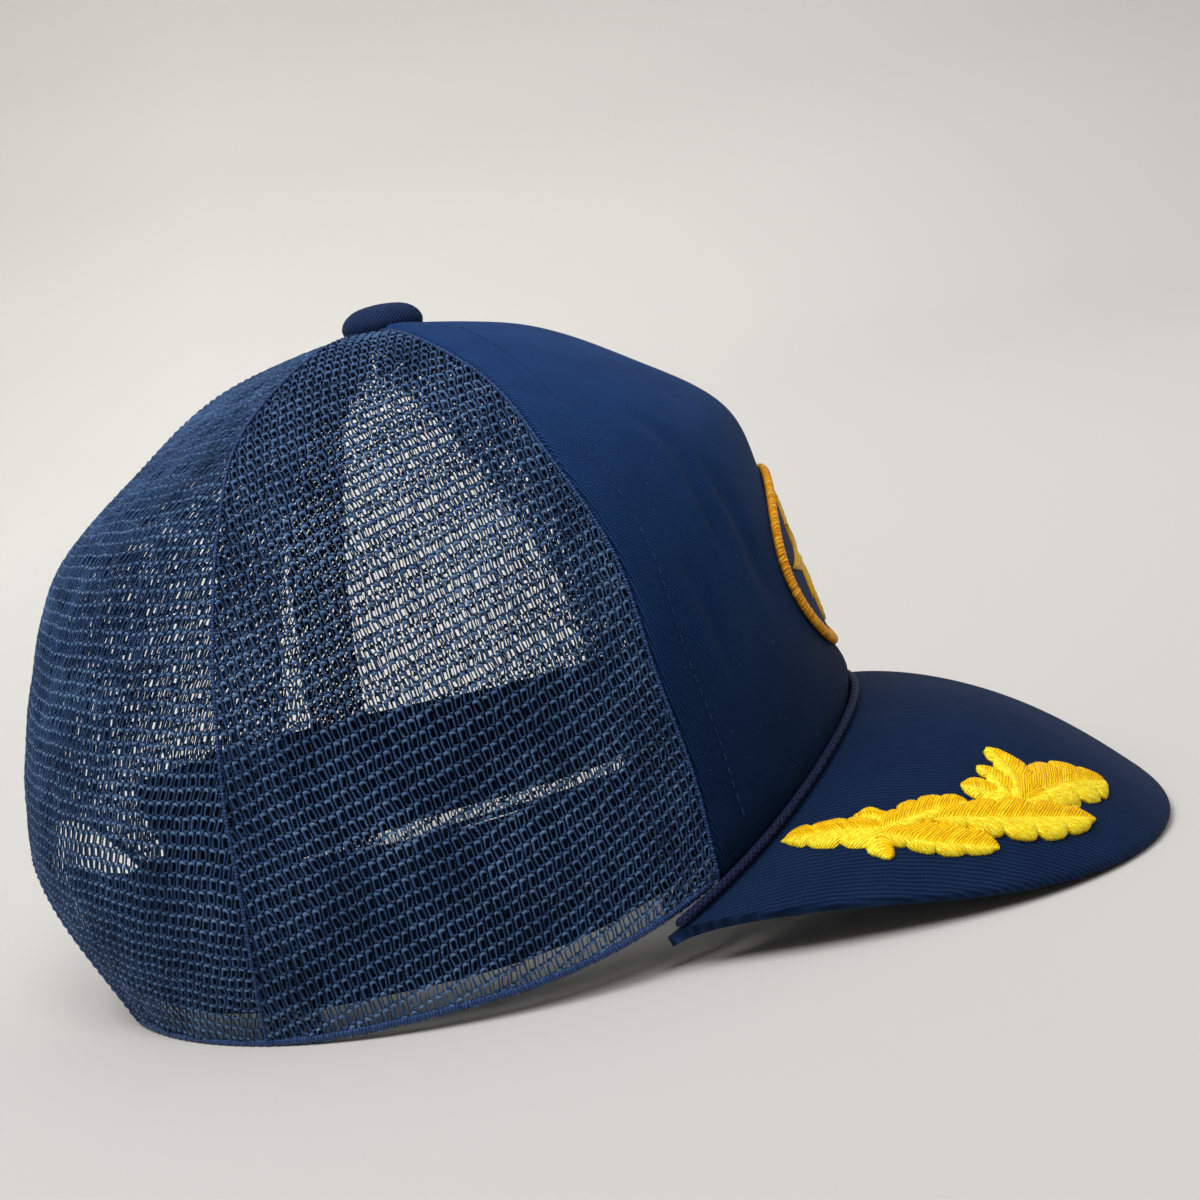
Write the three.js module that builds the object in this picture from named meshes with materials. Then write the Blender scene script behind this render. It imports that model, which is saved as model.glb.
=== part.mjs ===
import * as THREE from "three";

// A foam-front trucker cap, in millimetres, +Z up, peak towards -Y.
// The crown is worked out in cap axes: forward (towards the peak), left (the
// wearer's left) and up. place() turns those into the final axes.

// One row for each level of the crown, from the rim (0) to the apex (7).
const LEVELS = [
  { front: 54.5, back: -129.0, half: 82.5, zFront: 40.0, zSide: 8.0, zBack: 3.0, square: 2.02, frontSeam: 56.0, sideSeam: 122.0, rise: 2.2 },
  { front: 50.6, back: -140.0, half: 83.5, zFront: 55.5, zSide: 31.0, zBack: 33.0, square: 2.1, frontSeam: 53.5, sideSeam: 113.0, rise: 2.2 },
  { front: 46.8, back: -139.5, half: 82.0, zFront: 72.0, zSide: 58.0, zBack: 55.0, square: 2.15, frontSeam: 54.5, sideSeam: 111.0, rise: 2.0 },
  { front: 43.4, back: -131.5, half: 76.5, zFront: 92.0, zSide: 87.5, zBack: 82.5, square: 2.15, frontSeam: 56.5, sideSeam: 111.5, rise: 2.0 },
  { front: 38.2, back: -121.0, half: 64.0, zFront: 109.4, zSide: 112.5, zBack: 104.0, square: 2.1, frontSeam: 62.5, sideSeam: 112.5, rise: 2.0 },
  { front: 20.5, back: -100.5, half: 44.5, zFront: 123.6, zSide: 130.5, zBack: 120.5, square: 2.05, frontSeam: 64.5, sideSeam: 115.0, rise: 2.0 },
  { front: -4.5, back: -74.5, half: 23.0, zFront: 137.2, zSide: 141.3, zBack: 136.2, square: 2.0, frontSeam: 71.0, sideSeam: 108.0, rise: 2.0 },
  { front: -37.5, back: -37.5, half: 0.0, zFront: 143.8, zSide: 143.8, zBack: 143.8, square: 2.0, frontSeam: 80.0, sideSeam: 104.0, rise: 2.0 },
];
// The rim hangs lower at the sides of the back, about the angle "at".
const DIP = { depth: 5.5, at: 118, spread: 36, upTo: 1.2 };

const PEAK = {
  rootHeight: 38.5, rootForward: 56, slope: 0.056, droop: 0.0073,
  drop: 31.9, dropSlope: 0.2385, dropCurve: 0.0025, dropHalf: 80, dropPower: 2.4,
  tip: 123.5, widestForward: 35, halfWidth: 80.6, endForward: 4.7, endHalf: 76.2,
  tipPower: 2.35, sidePower: 2.5, endAngle: 66, ropeAngle: 64.5, thick: 2.8,
};

const NET = 1.2;
const FOAM = { out: 1.0, in: -1.4 };
const GAP = 0.3;
const STRIP = { width: 13, top: 6.4, out: -1.65, in: -2.35 };
const BAND = { out: -2.75, in: -4.15, low: 0.22, top: 1.3, end: 150 };
const STRAP = { out: -4.5, in: -5.9, low: 0.12, high: 0.62, end: 144 };
const ARCH = { top: 1.45, halfAngle: 27, power: 2.3 };
const ROPE = 1.0;
const PATCH = { height: 71.5, halfWidth: 28, halfHeight: 22.5, border: 3.2 };
const REST = { tilt: 0.58, drop: 0.6 };
const APEX = 6.9;

const STEPS = [
  0, 0.33, 0.66, 1.05, 1.5, 2, 2.5, 3, 3.4, 3.75, 4, 4.25, 4.5, 4.75, 5, 5.35, 5.7, 6.05, 6.4, APEX,
];

const rad = THREE.MathUtils.degToRad;
const lerp = THREE.MathUtils.lerp;
const clamp = THREE.MathUtils.clamp;

function level(name, k) {
  const last = LEVELS.length - 1;
  const c = clamp(k, 0, last - 1e-6);
  const i = Math.floor(c);
  const t = c - i;
  const at = (n) => {
    if (n < 0) return 2 * LEVELS[0][name] - LEVELS[1][name];
    if (n > last) return 2 * LEVELS[last][name] - LEVELS[last - 1][name];
    return LEVELS[n][name];
  };
  const [a, b, c2, d] = [at(i - 1), at(i), at(i + 1), at(i + 2)];
  return 0.5 * (2 * b + (c2 - a) * t + (2 * a - 5 * b + 4 * c2 - d) * t * t
    + (3 * b - a - 3 * c2 + d) * t * t * t);
}

// The cap's own axes into the final ones: it stands on its rim and peak.
function place(forward, left, up) {
  const a = rad(REST.tilt);
  return new THREE.Vector3(
    left,
    -(forward * Math.cos(a) - up * Math.sin(a)),
    up * Math.cos(a) + forward * Math.sin(a),
  );
}

// A point of the crown's surface: angle 0 in front, 90 on the wearer's left.
function crownPoint(angle, k) {
  const c = Math.cos(rad(angle));
  const s = Math.sin(rad(angle));
  const e = 2 / level("square", k);
  const front = level("front", k);
  const back = level("back", k);
  const forward = (front + back) / 2 + (front - back) / 2 * Math.sign(c) * Math.abs(c) ** e;
  const left = level("half", k) * Math.sign(s) * Math.abs(s) ** e;
  const side = level("zSide", k);
  let up = side + (level("zFront", k) - side) * Math.max(c, 0) ** level("rise", k);
  up += (level("zBack", k) - side) * Math.max(-c, 0) ** 2;
  const away = (Math.abs(angle > 180 ? 360 - angle : angle) - DIP.at) / DIP.spread;
  up -= DIP.depth * Math.exp(-away * away) * clamp(1 - k / DIP.upTo, 0, 1);
  return place(forward, left, up);
}

function normalOf(map, u, v, du, dv) {
  const a = map(u + du, v).sub(map(u - du, v));
  const b = map(u, v + dv).sub(map(u, v - dv));
  return a.cross(b).normalize();
}

function onCrown(angle, k, off) {
  const kk = clamp(k, 0.02, APEX);
  const n = normalOf(crownPoint, angle, kk, 0.4, 0.02);
  return crownPoint(angle, k).addScaledVector(n, off);
}

// Degrees that a length takes round the crown at level k.
function degrees(length, k) {
  return THREE.MathUtils.radToDeg(length / Math.max(level("half", k), 1.5));
}

function solid(positions, triangles, name, color) {
  const g = new THREE.BufferGeometry();
  g.setAttribute("position", new THREE.Float32BufferAttribute(positions.flatMap((p) => p.toArray()), 3));
  g.setIndex(triangles.flat());
  g.computeVertexNormals();
  const m = new THREE.Mesh(g, new THREE.MeshStandardMaterial({ color, roughness: 0.85, metalness: 0 }));
  m.name = name;
  return m;
}

// A closed wall between two grids of nu x nv points, outer and inner.
function wall(outer, inner, nu, nv, ring = false) {
  const pts = [...outer, ...inner];
  const tris = [];
  const o = (i, j) => (ring ? i % nu : i) * nv + j;
  const q = (a, b, c, d) => tris.push([a, b, c], [a, c, d]);
  const half = outer.length;
  const cells = ring ? nu : nu - 1;
  for (let i = 0; i < cells; i++) {
    for (let j = 0; j < nv - 1; j++) {
      q(o(i, j), o(i + 1, j), o(i + 1, j + 1), o(i, j + 1));
      q(half + o(i, j), half + o(i, j + 1), half + o(i + 1, j + 1), half + o(i + 1, j));
    }
    q(half + o(i, 0), half + o(i + 1, 0), o(i + 1, 0), o(i, 0));
    q(o(i, nv - 1), o(i + 1, nv - 1), half + o(i + 1, nv - 1), half + o(i, nv - 1));
  }
  if (!ring) {
    for (let j = 0; j < nv - 1; j++) {
      q(o(0, j), o(0, j + 1), half + o(0, j + 1), half + o(0, j));
      q(half + o(nu - 1, j), half + o(nu - 1, j + 1), o(nu - 1, j + 1), o(nu - 1, j));
    }
  }
  return [pts, tris];
}

const range = (n) => Array.from({ length: n + 1 }, (_, i) => i / n);

// A panel of the crown between two edges that are functions of the level.
function panel(name, color, across, from, to, out, inn, steps) {
  const outer = [];
  const inner = [];
  for (const u of across) {
    for (const s of steps) {
      const k = typeof s === "function" ? s(u) : s;
      const angle = lerp(from(k), to(k), u);
      outer.push(onCrown(angle, k, out));
      inner.push(onCrown(angle, k, inn));
    }
  }
  return solid(...wall(outer, inner, across.length, steps.length), name, color);
}

// Lower edge of the back panels: the arch over the strap.
function archAt(angle) {
  const x = Math.abs(180 - Math.abs(angle)) / ARCH.halfAngle;
  return x >= 1 ? 0 : ARCH.top * (1 - x ** ARCH.power) ** 0.5;
}

const NAVY = { net: 0x22304f, foam: 0x1a2a4a, peak: 0x1c2842, rope: 0x1d2340, band: 0x1a2440, strap: 0x141b30 };
const GOLD = { thread: 0xe8c81e, border: 0xce962c, field: 0x2a2a48 };

const cap = new THREE.Group();
cap.name = "trucker_cap";
const crown = new THREE.Group();
crown.name = "crown";
const brim = new THREE.Group();
brim.name = "brim";
const badge = new THREE.Group();
badge.name = "badge";
const fitting = new THREE.Group();
fitting.name = "fitting";

crown.add(panel(
  "front_panel", NAVY.foam, range(16),
  (k) => -level("frontSeam", k) + degrees(GAP / 2, k),
  (k) => level("frontSeam", k) - degrees(GAP / 2, k),
  FOAM.out, FOAM.in, STEPS,
));

const seamStrip = (k) => Math.min(
  degrees(STRIP.width, k),
  0.42 * (level("sideSeam", k) - level("frontSeam", k)),
);
const stripSteps = STEPS.filter((k) => k <= STRIP.top);

for (const [side, sign] of [["left", 1], ["right", -1]]) {
  // Edges are given as distances from the front, and mirrored for the right.
  const pane = (name, color, across, near, far, out, inn, steps) => {
    const from = sign > 0 ? near : (k) => -far(k);
    const to = sign > 0 ? far : (k) => -near(k);
    return panel(name, color, across, from, to, out, inn, steps);
  };
  crown.add(pane(
    `side_mesh_${side}`, NAVY.net, range(8),
    (k) => level("frontSeam", k) + degrees(GAP / 2, k),
    (k) => level("sideSeam", k) - degrees(GAP / 2, k),
    0, -NET, STEPS,
  ));
  // The back panel's lower edge follows the arch, so its steps start there.
  const near = (k) => level("sideSeam", k) + degrees(GAP / 2, k);
  const far = (k) => 180 - degrees(GAP / 2, k);
  const across = [0, 0.14, 0.28, 0.42, 0.5, 0.56, 0.6, 0.65, 0.72, 0.8, 0.9, 1];
  const ordered = sign > 0 ? across : across.map((u) => 1 - u).reverse();
  const steps = STEPS.map((s, n) => (u) => {
    const w = sign > 0 ? u : 1 - u;
    let k = s;
    for (let pass = 0; pass < 6; pass++) {
      const low = archAt(lerp(near(k), far(k), w));
      k = s < 2.5 ? lerp(low, 2.5, s / 2.5) : s;
    }
    return k;
  });
  crown.add(pane(`back_mesh_${side}`, NAVY.net, ordered, near, far, 0, -NET, steps));
  crown.add(pane(
    `front_seam_strip_${side}`, NAVY.net, range(2),
    (k) => level("frontSeam", k) + degrees(GAP, k),
    (k) => level("frontSeam", k) + degrees(GAP, k) + seamStrip(k),
    STRIP.out, STRIP.in, stripSteps,
  ));
  crown.add(pane(
    `side_seam_strip_${side}`, NAVY.net, range(2),
    (k) => level("sideSeam", k) - seamStrip(k),
    (k) => level("sideSeam", k) - degrees(GAP / 2, k),
    STRIP.out, STRIP.in, stripSteps,
  ));
}
crown.add(panel(
  "back_seam_strip", NAVY.net, range(2),
  (k) => 180 - Math.min(degrees(5, k), 20),
  (k) => 180 + Math.min(degrees(5, k), 20),
  STRIP.out, STRIP.in, STEPS.filter((k) => k >= ARCH.top + 0.04 && k <= STRIP.top),
));

// The button: a domed disc whose hollow underside fits the top of the crown.
{
  const profile = [
    [0, 0.0], [5.2, -0.35], [9.0, -1.0], [9.4, 0.4], [9.2, 2.2], [7.4, 4.2], [4.2, 5.3], [0, 5.6],
  ].map(([r, z]) => new THREE.Vector2(r, z));
  const g = new THREE.LatheGeometry(profile, 20);
  g.rotateX(Math.PI / 2);
  const seat = crownPoint(0, 7);
  const m = new THREE.Mesh(g, new THREE.MeshStandardMaterial({ color: NAVY.foam, roughness: 0.8 }));
  g.translate(seat.x, seat.y, seat.z + FOAM.out + GAP);
  m.name = "top_button";
  crown.add(m);
}

crown.add(panel(
  "sweatband", NAVY.band, range(50), () => -BAND.end, () => BAND.end,
  BAND.out, BAND.in, [BAND.low, 0.5, 0.78, 1.05, BAND.top],
));
fitting.add(panel(
  "back_strap", NAVY.strap, range(16), () => STRAP.end, () => 360 - STRAP.end,
  STRAP.out, STRAP.in, [STRAP.low, (STRAP.low + STRAP.high) / 2, STRAP.high],
));

// The peak: plan position (forward, left) to height, an arch that droops.
function peakHeight(forward, left) {
  const g = forward - PEAK.rootForward;
  const crest = PEAK.rootHeight - PEAK.slope * g - PEAK.droop * g * g;
  const drop = PEAK.drop + PEAK.dropSlope * g - PEAK.dropCurve * g * g;
  return crest - drop * (Math.abs(left) / PEAK.dropHalf) ** PEAK.dropPower;
}
function peakHalf(forward) {
  const g = clamp((forward - PEAK.widestForward) / (PEAK.tip - PEAK.widestForward), 0, 1);
  const a = PEAK.halfWidth * (1 - g ** PEAK.tipPower) ** (1 / PEAK.sidePower);
  const h = clamp((PEAK.widestForward - forward) / (PEAK.widestForward - PEAK.endForward), 0, 1.2);
  return a - (PEAK.halfWidth - PEAK.endHalf) * h * h;
}
function rootPlan(angle, off) {
  const e = 2 / level("square", 0);
  const c = Math.cos(rad(angle));
  const s = Math.sin(rad(angle));
  const mid = (LEVELS[0].front + LEVELS[0].back) / 2;
  const long = (LEVELS[0].front - LEVELS[0].back) / 2;
  const n = new THREE.Vector2(c / long, s / LEVELS[0].half).normalize();
  return [mid + long * c ** e + n.x * off, LEVELS[0].half * Math.sign(s) * Math.abs(s) ** e + n.y * off];
}
function peakPlan(u, v) {
  const root = rootPlan(PEAK.endAngle * u, FOAM.out + GAP);
  const w = (1 - Math.abs(u)) * Math.PI / 2;
  const forward = PEAK.endForward + (PEAK.tip - PEAK.endForward) * Math.sin(w);
  const edge = [forward, Math.sign(u) * peakHalf(forward)];
  return [lerp(root[0], edge[0], v), lerp(root[1], edge[1], v)];
}
function onPeak(forward, left, off) {
  const at = (f, l) => place(f, l, peakHeight(f, l));
  const a = at(forward + 0.5, left).sub(at(forward - 0.5, left));
  const b = at(forward, left + 0.5).sub(at(forward, left - 0.5));
  const n = b.cross(a).normalize();
  if (n.z < 0) n.negate();
  return at(forward, left).addScaledVector(n, off);
}
{
  const us = range(26).map((x) => 1 - 2 * x);
  const vs = [0, 0.12, 0.3, 0.5, 0.68, 0.84, 0.95, 1];
  const outer = [];
  const inner = [];
  for (const u of us) {
    for (const v of vs) {
      const [f, l] = peakPlan(u, Math.max(v, 0.02 * Math.abs(u)));
      outer.push(onPeak(f, l, 0));
      inner.push(onPeak(f, l, -PEAK.thick));
    }
  }
  brim.add(solid(...wall(outer, inner, us.length, vs.length), "peak", NAVY.peak));
}

// A round cord of a radius along a list of points.
function cord(name, color, points, radius, sides) {
  const curve = new THREE.CatmullRomCurve3(points);
  const shape = new THREE.Shape();
  for (let i = 0; i < sides; i++) {
    const a = 2 * Math.PI * i / sides;
    if (i === 0) shape.moveTo(radius * Math.cos(a), radius * Math.sin(a));
    else shape.lineTo(radius * Math.cos(a), radius * Math.sin(a));
  }
  const g = new THREE.ExtrudeGeometry(shape, { steps: points.length - 1, bevelEnabled: false, extrudePath: curve });
  const m = new THREE.Mesh(g, new THREE.MeshStandardMaterial({ color, roughness: 0.7 }));
  m.name = name;
  return m;
}
{
  const points = range(36).map((x) => {
    const [f, l] = rootPlan(PEAK.ropeAngle * (2 * x - 1), FOAM.out + GAP + ROPE);
    return onPeak(f, l, ROPE + GAP);
  });
  brim.add(cord("peak_rope", NAVY.rope, points, ROPE, 6));
}

// A leaf spray: one row for each section, from the stalk to the front leaf,
// with the plan positions of its inner and outer edge.
const SPRAY = [
  { inF: 31.8, inL: 62.8, outF: 32.3, outL: 65.5 },
  { inF: 37.9, inL: 61.3, outF: 38.8, outL: 68.0 },
  { inF: 47.9, inL: 60.8, outF: 49.4, outL: 70.7 },
  { inF: 52.9, inL: 62.1, outF: 54.9, outL: 69.3 },
  { inF: 59.4, inL: 57.9, outF: 61.0, outL: 70.9 },
  { inF: 66.4, inL: 56.8, outF: 67.5, outL: 70.0 },
  { inF: 70.8, inL: 51.0, outF: 74.0, outL: 67.4 },
  { inF: 76.8, inL: 41.6, outF: 79.0, outL: 64.4 },
  { inF: 82.7, inL: 40.0, outF: 86.0, outL: 61.8 },
  { inF: 87.8, inL: 44.1, outF: 92.5, outL: 58.4 },
  { inF: 91.3, inL: 41.1, outF: 95.5, outL: 54.5 },
  { inF: 96.3, inL: 36.5, outF: 97.4, outL: 48.8 },
  { inF: 101.4, inL: 33.5, outF: 101.4, outL: 42.4 },
  { inF: 103.4, inL: 36.3, outF: 103.4, outL: 38.8 },
];
for (const [side, sign] of [["left", 1], ["right", -1]]) {
  const rows = sign > 0 ? SPRAY : [...SPRAY].reverse();
  const across = range(4);
  const outer = [];
  const inner = [];
  for (const r of rows) {
    for (const w of across) {
      const f = lerp(r.inF, r.outF, w);
      const l = sign * lerp(r.inL, r.outL, w);
      outer.push(onPeak(f, l, 0.3 + 1.3));
      inner.push(onPeak(f, l, 0.3));
    }
  }
  brim.add(solid(...wall(outer, inner, rows.length, across.length), `leaf_spray_${side}`, GOLD.thread));
}

// The badge on the front: places measured sideways and up from its middle.
function onFront(across, rise, off) {
  let low = 0.2;
  let high = 5;
  const target = PATCH.height + rise;
  const angleAt = (k) => THREE.MathUtils.radToDeg(Math.asin(clamp(across / level("half", k), -0.95, 0.95)));
  const zero = crownPoint(0, 0).z - LEVELS[0].zFront;
  for (let n = 0; n < 24; n++) {
    const k = (low + high) / 2;
    if (crownPoint(angleAt(k), k).z - zero < target) low = k;
    else high = k;
  }
  return onCrown(angleAt(low), low, off);
}
function disc(name, color, count, rings, edge, low, high) {
  const pts = [];
  const tris = [];
  for (const off of [high, low]) {
    pts.push(onFront(0, 0, off));
    for (const r of rings) {
      for (let i = 0; i < count; i++) {
        const a = 2 * Math.PI * i / count;
        const reach = edge(a, i) * r;
        pts.push(onFront(reach * Math.cos(a) * PATCH.halfWidth, reach * Math.sin(a) * PATCH.halfHeight, off));
      }
    }
  }
  const layer = 1 + rings.length * count;
  const at = (r, i) => 1 + r * count + (i % count);
  for (let i = 0; i < count; i++) {
    tris.push([0, at(0, i), at(0, i + 1)], [layer, layer + at(0, i + 1), layer + at(0, i)]);
    for (let r = 0; r < rings.length - 1; r++) {
      const [a, b, c, d] = [at(r, i), at(r + 1, i), at(r + 1, i + 1), at(r, i + 1)];
      tris.push([a, b, c], [a, c, d], [layer + a, layer + c, layer + b], [layer + a, layer + d, layer + c]);
    }
    const [p, q] = [at(rings.length - 1, i), at(rings.length - 1, i + 1)];
    tris.push([p, layer + p, layer + q], [p, layer + q, q]);
  }
  return solid(pts, tris, name, color);
}
{
  const face = FOAM.out + GAP;
  const inside = 1 - (PATCH.border + GAP) / PATCH.halfWidth;
  badge.add(disc("patch_ground", GOLD.field, 32, [0.35, 0.7, 1], () => inside, face + 0.1, face + 0.8));
  const star = (a, i) => (i % 8 === 0 ? 0.74 : i % 8 === 4 ? 0.56 : 0.25);
  badge.add(disc("patch_motif", GOLD.border, 32, [0.5, 1], star, face + 1.25, face + 2.1));
  const outer = [];
  const inner = [];
  const count = 32;
  for (let i = 0; i < count; i++) {
    const a = 2 * Math.PI * i / count;
    for (const r of [1 - PATCH.border / PATCH.halfWidth, 1 - PATCH.border / 2 / PATCH.halfWidth, 1]) {
      const x = r * Math.cos(a) * PATCH.halfWidth;
      const z = r * Math.sin(a) * PATCH.halfHeight;
      const swell = r === 1 || r < 0.9 ? 1.2 : 2.0;
      outer.push(onFront(x, z, face + swell));
      inner.push(onFront(x, z, face));
    }
  }
  const [pts, tris] = wall(outer, inner, count, 3, true);
  badge.add(solid(pts, tris.map(([a, b, c]) => [a, c, b]), "patch_border", GOLD.border));
}

cap.add(crown, brim, badge, fitting);

// Stand the cap on z = 0 and centre it: the cloth is pressed flat where it rests.
{
  const box = new THREE.Box3().setFromObject(cap);
  const move = new THREE.Vector3(-(box.min.x + box.max.x) / 2, -(box.min.y + box.max.y) / 2, -box.min.z - REST.drop);
  cap.traverse((m) => {
    if (!m.isMesh) return;
    m.geometry.translate(move.x, move.y, move.z);
    const p = m.geometry.attributes.position;
    for (let i = 0; i < p.count; i++) {
      if (p.getZ(i) < 0) p.setZ(i, 0);
    }
    m.geometry.computeVertexNormals();
    m.geometry.computeBoundingBox();
  });
}

export default cap;
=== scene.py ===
"""The looks of the foam-front trucker cap: its net, knit, thread, rope and plastic.

Sizes are in millimetres in the cap's own axes, forward (towards the peak), left
and up, as they are in the part's source, and place() turns them into metres in
the final axes.
"""

import math

import bpy
import numpy as np
from mathutils import Matrix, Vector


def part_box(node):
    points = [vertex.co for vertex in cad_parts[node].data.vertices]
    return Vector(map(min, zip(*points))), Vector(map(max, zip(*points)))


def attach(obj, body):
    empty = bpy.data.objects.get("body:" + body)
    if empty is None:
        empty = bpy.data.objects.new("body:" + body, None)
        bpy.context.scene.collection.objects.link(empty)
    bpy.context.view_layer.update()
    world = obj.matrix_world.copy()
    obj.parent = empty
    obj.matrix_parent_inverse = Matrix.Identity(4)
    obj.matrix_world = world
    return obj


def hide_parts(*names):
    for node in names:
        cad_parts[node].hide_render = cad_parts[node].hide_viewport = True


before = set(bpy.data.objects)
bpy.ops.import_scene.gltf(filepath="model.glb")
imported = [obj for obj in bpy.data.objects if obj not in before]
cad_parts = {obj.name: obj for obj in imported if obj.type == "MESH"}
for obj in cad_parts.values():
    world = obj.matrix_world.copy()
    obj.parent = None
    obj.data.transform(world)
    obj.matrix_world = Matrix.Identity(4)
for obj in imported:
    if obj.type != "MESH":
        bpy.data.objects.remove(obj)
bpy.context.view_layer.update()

# The crown's sizes at its levels, from the rim (0) to the button's seat (7).
LEVELS = {
    "front": (54.5, 50.6, 46.8, 43.4, 38.2, 20.5, -4.5, -37.5),
    "back": (-129.0, -140.0, -139.5, -131.5, -121.0, -100.5, -74.5, -37.5),
    "half": (82.5, 83.5, 82.0, 76.5, 64.0, 44.5, 23.0, 0.0),
    "front_height": (40.0, 55.5, 72.0, 92.0, 109.4, 123.6, 137.2, 143.8),
    "side_height": (8.0, 31.0, 58.0, 87.5, 112.5, 130.5, 141.3, 143.8),
    "back_height": (3.0, 33.0, 55.0, 82.5, 104.0, 120.5, 136.2, 143.8),
    "square": (2.02, 2.1, 2.15, 2.15, 2.1, 2.05, 2.0, 2.0),
    "front_seam": (56.0, 53.5, 54.5, 56.5, 62.5, 64.5, 71.0, 80.0),
    "side_seam": (122.0, 113.0, 111.0, 111.5, 112.5, 115.0, 108.0, 104.0),
    "rise": (2.2, 2.2, 2.0, 2.0, 2.0, 2.0, 2.0, 2.0),
}
APEX = 6.9
DIP = {"depth": 5.5, "at": 118, "spread": 36, "up_to": 1.2}
ARCH = {"top": 1.45, "half_angle": 27, "power": 2.3}
PEAK = {
    "root_height": 38.5, "root_forward": 56, "slope": 0.056, "droop": 0.0073,
    "drop": 31.9, "drop_slope": 0.2385, "drop_curve": 0.0025, "drop_half": 80, "drop_power": 2.4,
    "tip": 123.5, "widest": 35, "half_width": 80.6, "end_forward": 4.7, "end_half": 76.2,
    "tip_power": 2.35, "side_power": 2.5, "end_angle": 66, "rope_angle": 64.5, "thick": 2.8,
}
PATCH = {"height": 71.5, "half_width": 28, "half_height": 22.5, "over_foam": 0.15, "border_radius": 1.3}
BUTTON = {"high": 5.6, "radius": 9.4, "forward": 1.9, "down": 1.7}
FOAM_OUT = 1.0
FOAM_IN = -1.4
GAP = 0.3
TILT = math.radians(0.58)
MM = 0.001
FULL_TURN = 2 * math.pi

# The net: from hole to hole along a row, and from row to row.
PITCH = 2.07
ROW = 3.08
# The satin stitches: from thread to thread on the leaves, and on the star.
SATIN = 0.72
STAR_SATIN = 0.42


def seat_move():
    """How far the part's source moved the cap when it stood it on the floor."""
    low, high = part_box("top_button")
    seat = raw_place(LEVELS["front"][-1], 0.0, LEVELS["side_height"][-1])
    return np.array([
        0.0,
        (low.y + high.y) / 2 / MM - seat[1],
        high.z / MM - (seat[2] + FOAM_OUT + GAP + BUTTON["high"]),
    ])


def raw_place(forward, left, up):
    """Cap axes into final ones, in millimetres, before the cap was centred."""
    return np.stack(np.broadcast_arrays(
        left,
        -(forward * math.cos(TILT) - up * math.sin(TILT)),
        up * math.cos(TILT) + forward * math.sin(TILT),
    ), -1)


MOVE = seat_move()


def place(forward, left, up):
    """Cap axes in millimetres into the final ones in metres."""
    return (raw_place(forward, left, up) + MOVE) * MM


def curve(row, k):
    """The value at k of the smooth curve through a row of values."""
    row = np.array(row, float)
    line = np.concatenate([[2 * row[0] - row[1]], row, [2 * row[-1] - row[-2]]])
    k = np.clip(k, 0, len(row) - 1 - 1e-6)
    i = np.floor(k).astype(int)
    t = k - i
    a, b, c, d = line[i], line[i + 1], line[i + 2], line[i + 3]
    return 0.5 * (
        2 * b + (c - a) * t + (2 * a - 5 * b + 4 * c - d) * t**2
        + (3 * b - a - 3 * c + d) * t**3
    )


def level(name, k):
    """A crown size at level k."""
    return curve(LEVELS[name], k)


def signed_power(x, e):
    return np.sign(x) * np.abs(x) ** e


def smooth(low, high, x):
    """0 below low, 1 above high and a soft step between them."""
    t = np.clip((x - low) / (high - low), 0, 1)
    return t * t * (3 - 2 * t)


def bell(x, mid, wide):
    """1 at mid and softly down to 0 on both sides of it."""
    return np.exp(-(((x - mid) / wide) ** 2))


def unit(v):
    return v / np.maximum(np.linalg.norm(v, axis=-1, keepdims=True), 1e-12)


def raised(point, out, off):
    """A point moved by off millimetres along out."""
    return point + out * (np.asarray(off)[..., None] * MM)


def run_along(points):
    """How far each point is from the first one, walking along them."""
    return np.concatenate([[0], np.cumsum(np.linalg.norm(np.diff(points, axis=0), axis=-1))])


def crown_point(angle, k):
    """A point of the crown, angle 0 in front and 90 on the wearer's left."""
    angle, k = np.broadcast_arrays(np.asarray(angle, float), np.asarray(k, float))
    c, s = np.cos(np.radians(angle)), np.sin(np.radians(angle))
    e = 2 / level("square", k)
    front, back = level("front", k), level("back", k)
    forward = (front + back) / 2 + (front - back) / 2 * signed_power(c, e)
    left = level("half", k) * signed_power(s, e)
    side = level("side_height", k)
    up = side + (level("front_height", k) - side) * np.maximum(c, 0) ** level("rise", k)
    up = up + (level("back_height", k) - side) * np.maximum(-c, 0) ** 2
    around = np.abs(np.where(angle > 180, 360 - angle, angle))
    up = up - DIP["depth"] * bell(around, DIP["at"], DIP["spread"]) * np.clip(1 - k / DIP["up_to"], 0, 1)
    return place(forward, left, up)


def crown_normal(angle, k):
    turn, rise = 0.4, 0.02
    k = np.clip(k, rise, APEX)
    across = crown_point(angle + turn, k) - crown_point(angle - turn, k)
    upward = crown_point(angle, k + rise) - crown_point(angle, k - rise)
    return unit(np.cross(across, upward))


def on_crown(angle, k, off):
    """A point off the crown's surface by off millimetres, outwards."""
    return raised(crown_point(angle, k), crown_normal(angle, k), off)


def degrees(length, k):
    """Degrees that a length takes round the crown at level k."""
    smallest = 1.5
    return np.degrees(length / np.maximum(level("half", k), smallest))


def arch_level(angle):
    """The level of the back opening's edge at an angle, 0 outside it."""
    x = np.clip(np.abs(180 - np.abs(angle)) / ARCH["half_angle"], 0, 1)
    return ARCH["top"] * np.sqrt(1 - x ** ARCH["power"])


def peak_height(f, l):
    g = f - PEAK["root_forward"]
    crest = PEAK["root_height"] - PEAK["slope"] * g - PEAK["droop"] * g * g
    drop = PEAK["drop"] + PEAK["drop_slope"] * g - PEAK["drop_curve"] * g * g
    return crest - drop * (np.abs(l) / PEAK["drop_half"]) ** PEAK["drop_power"]


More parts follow.
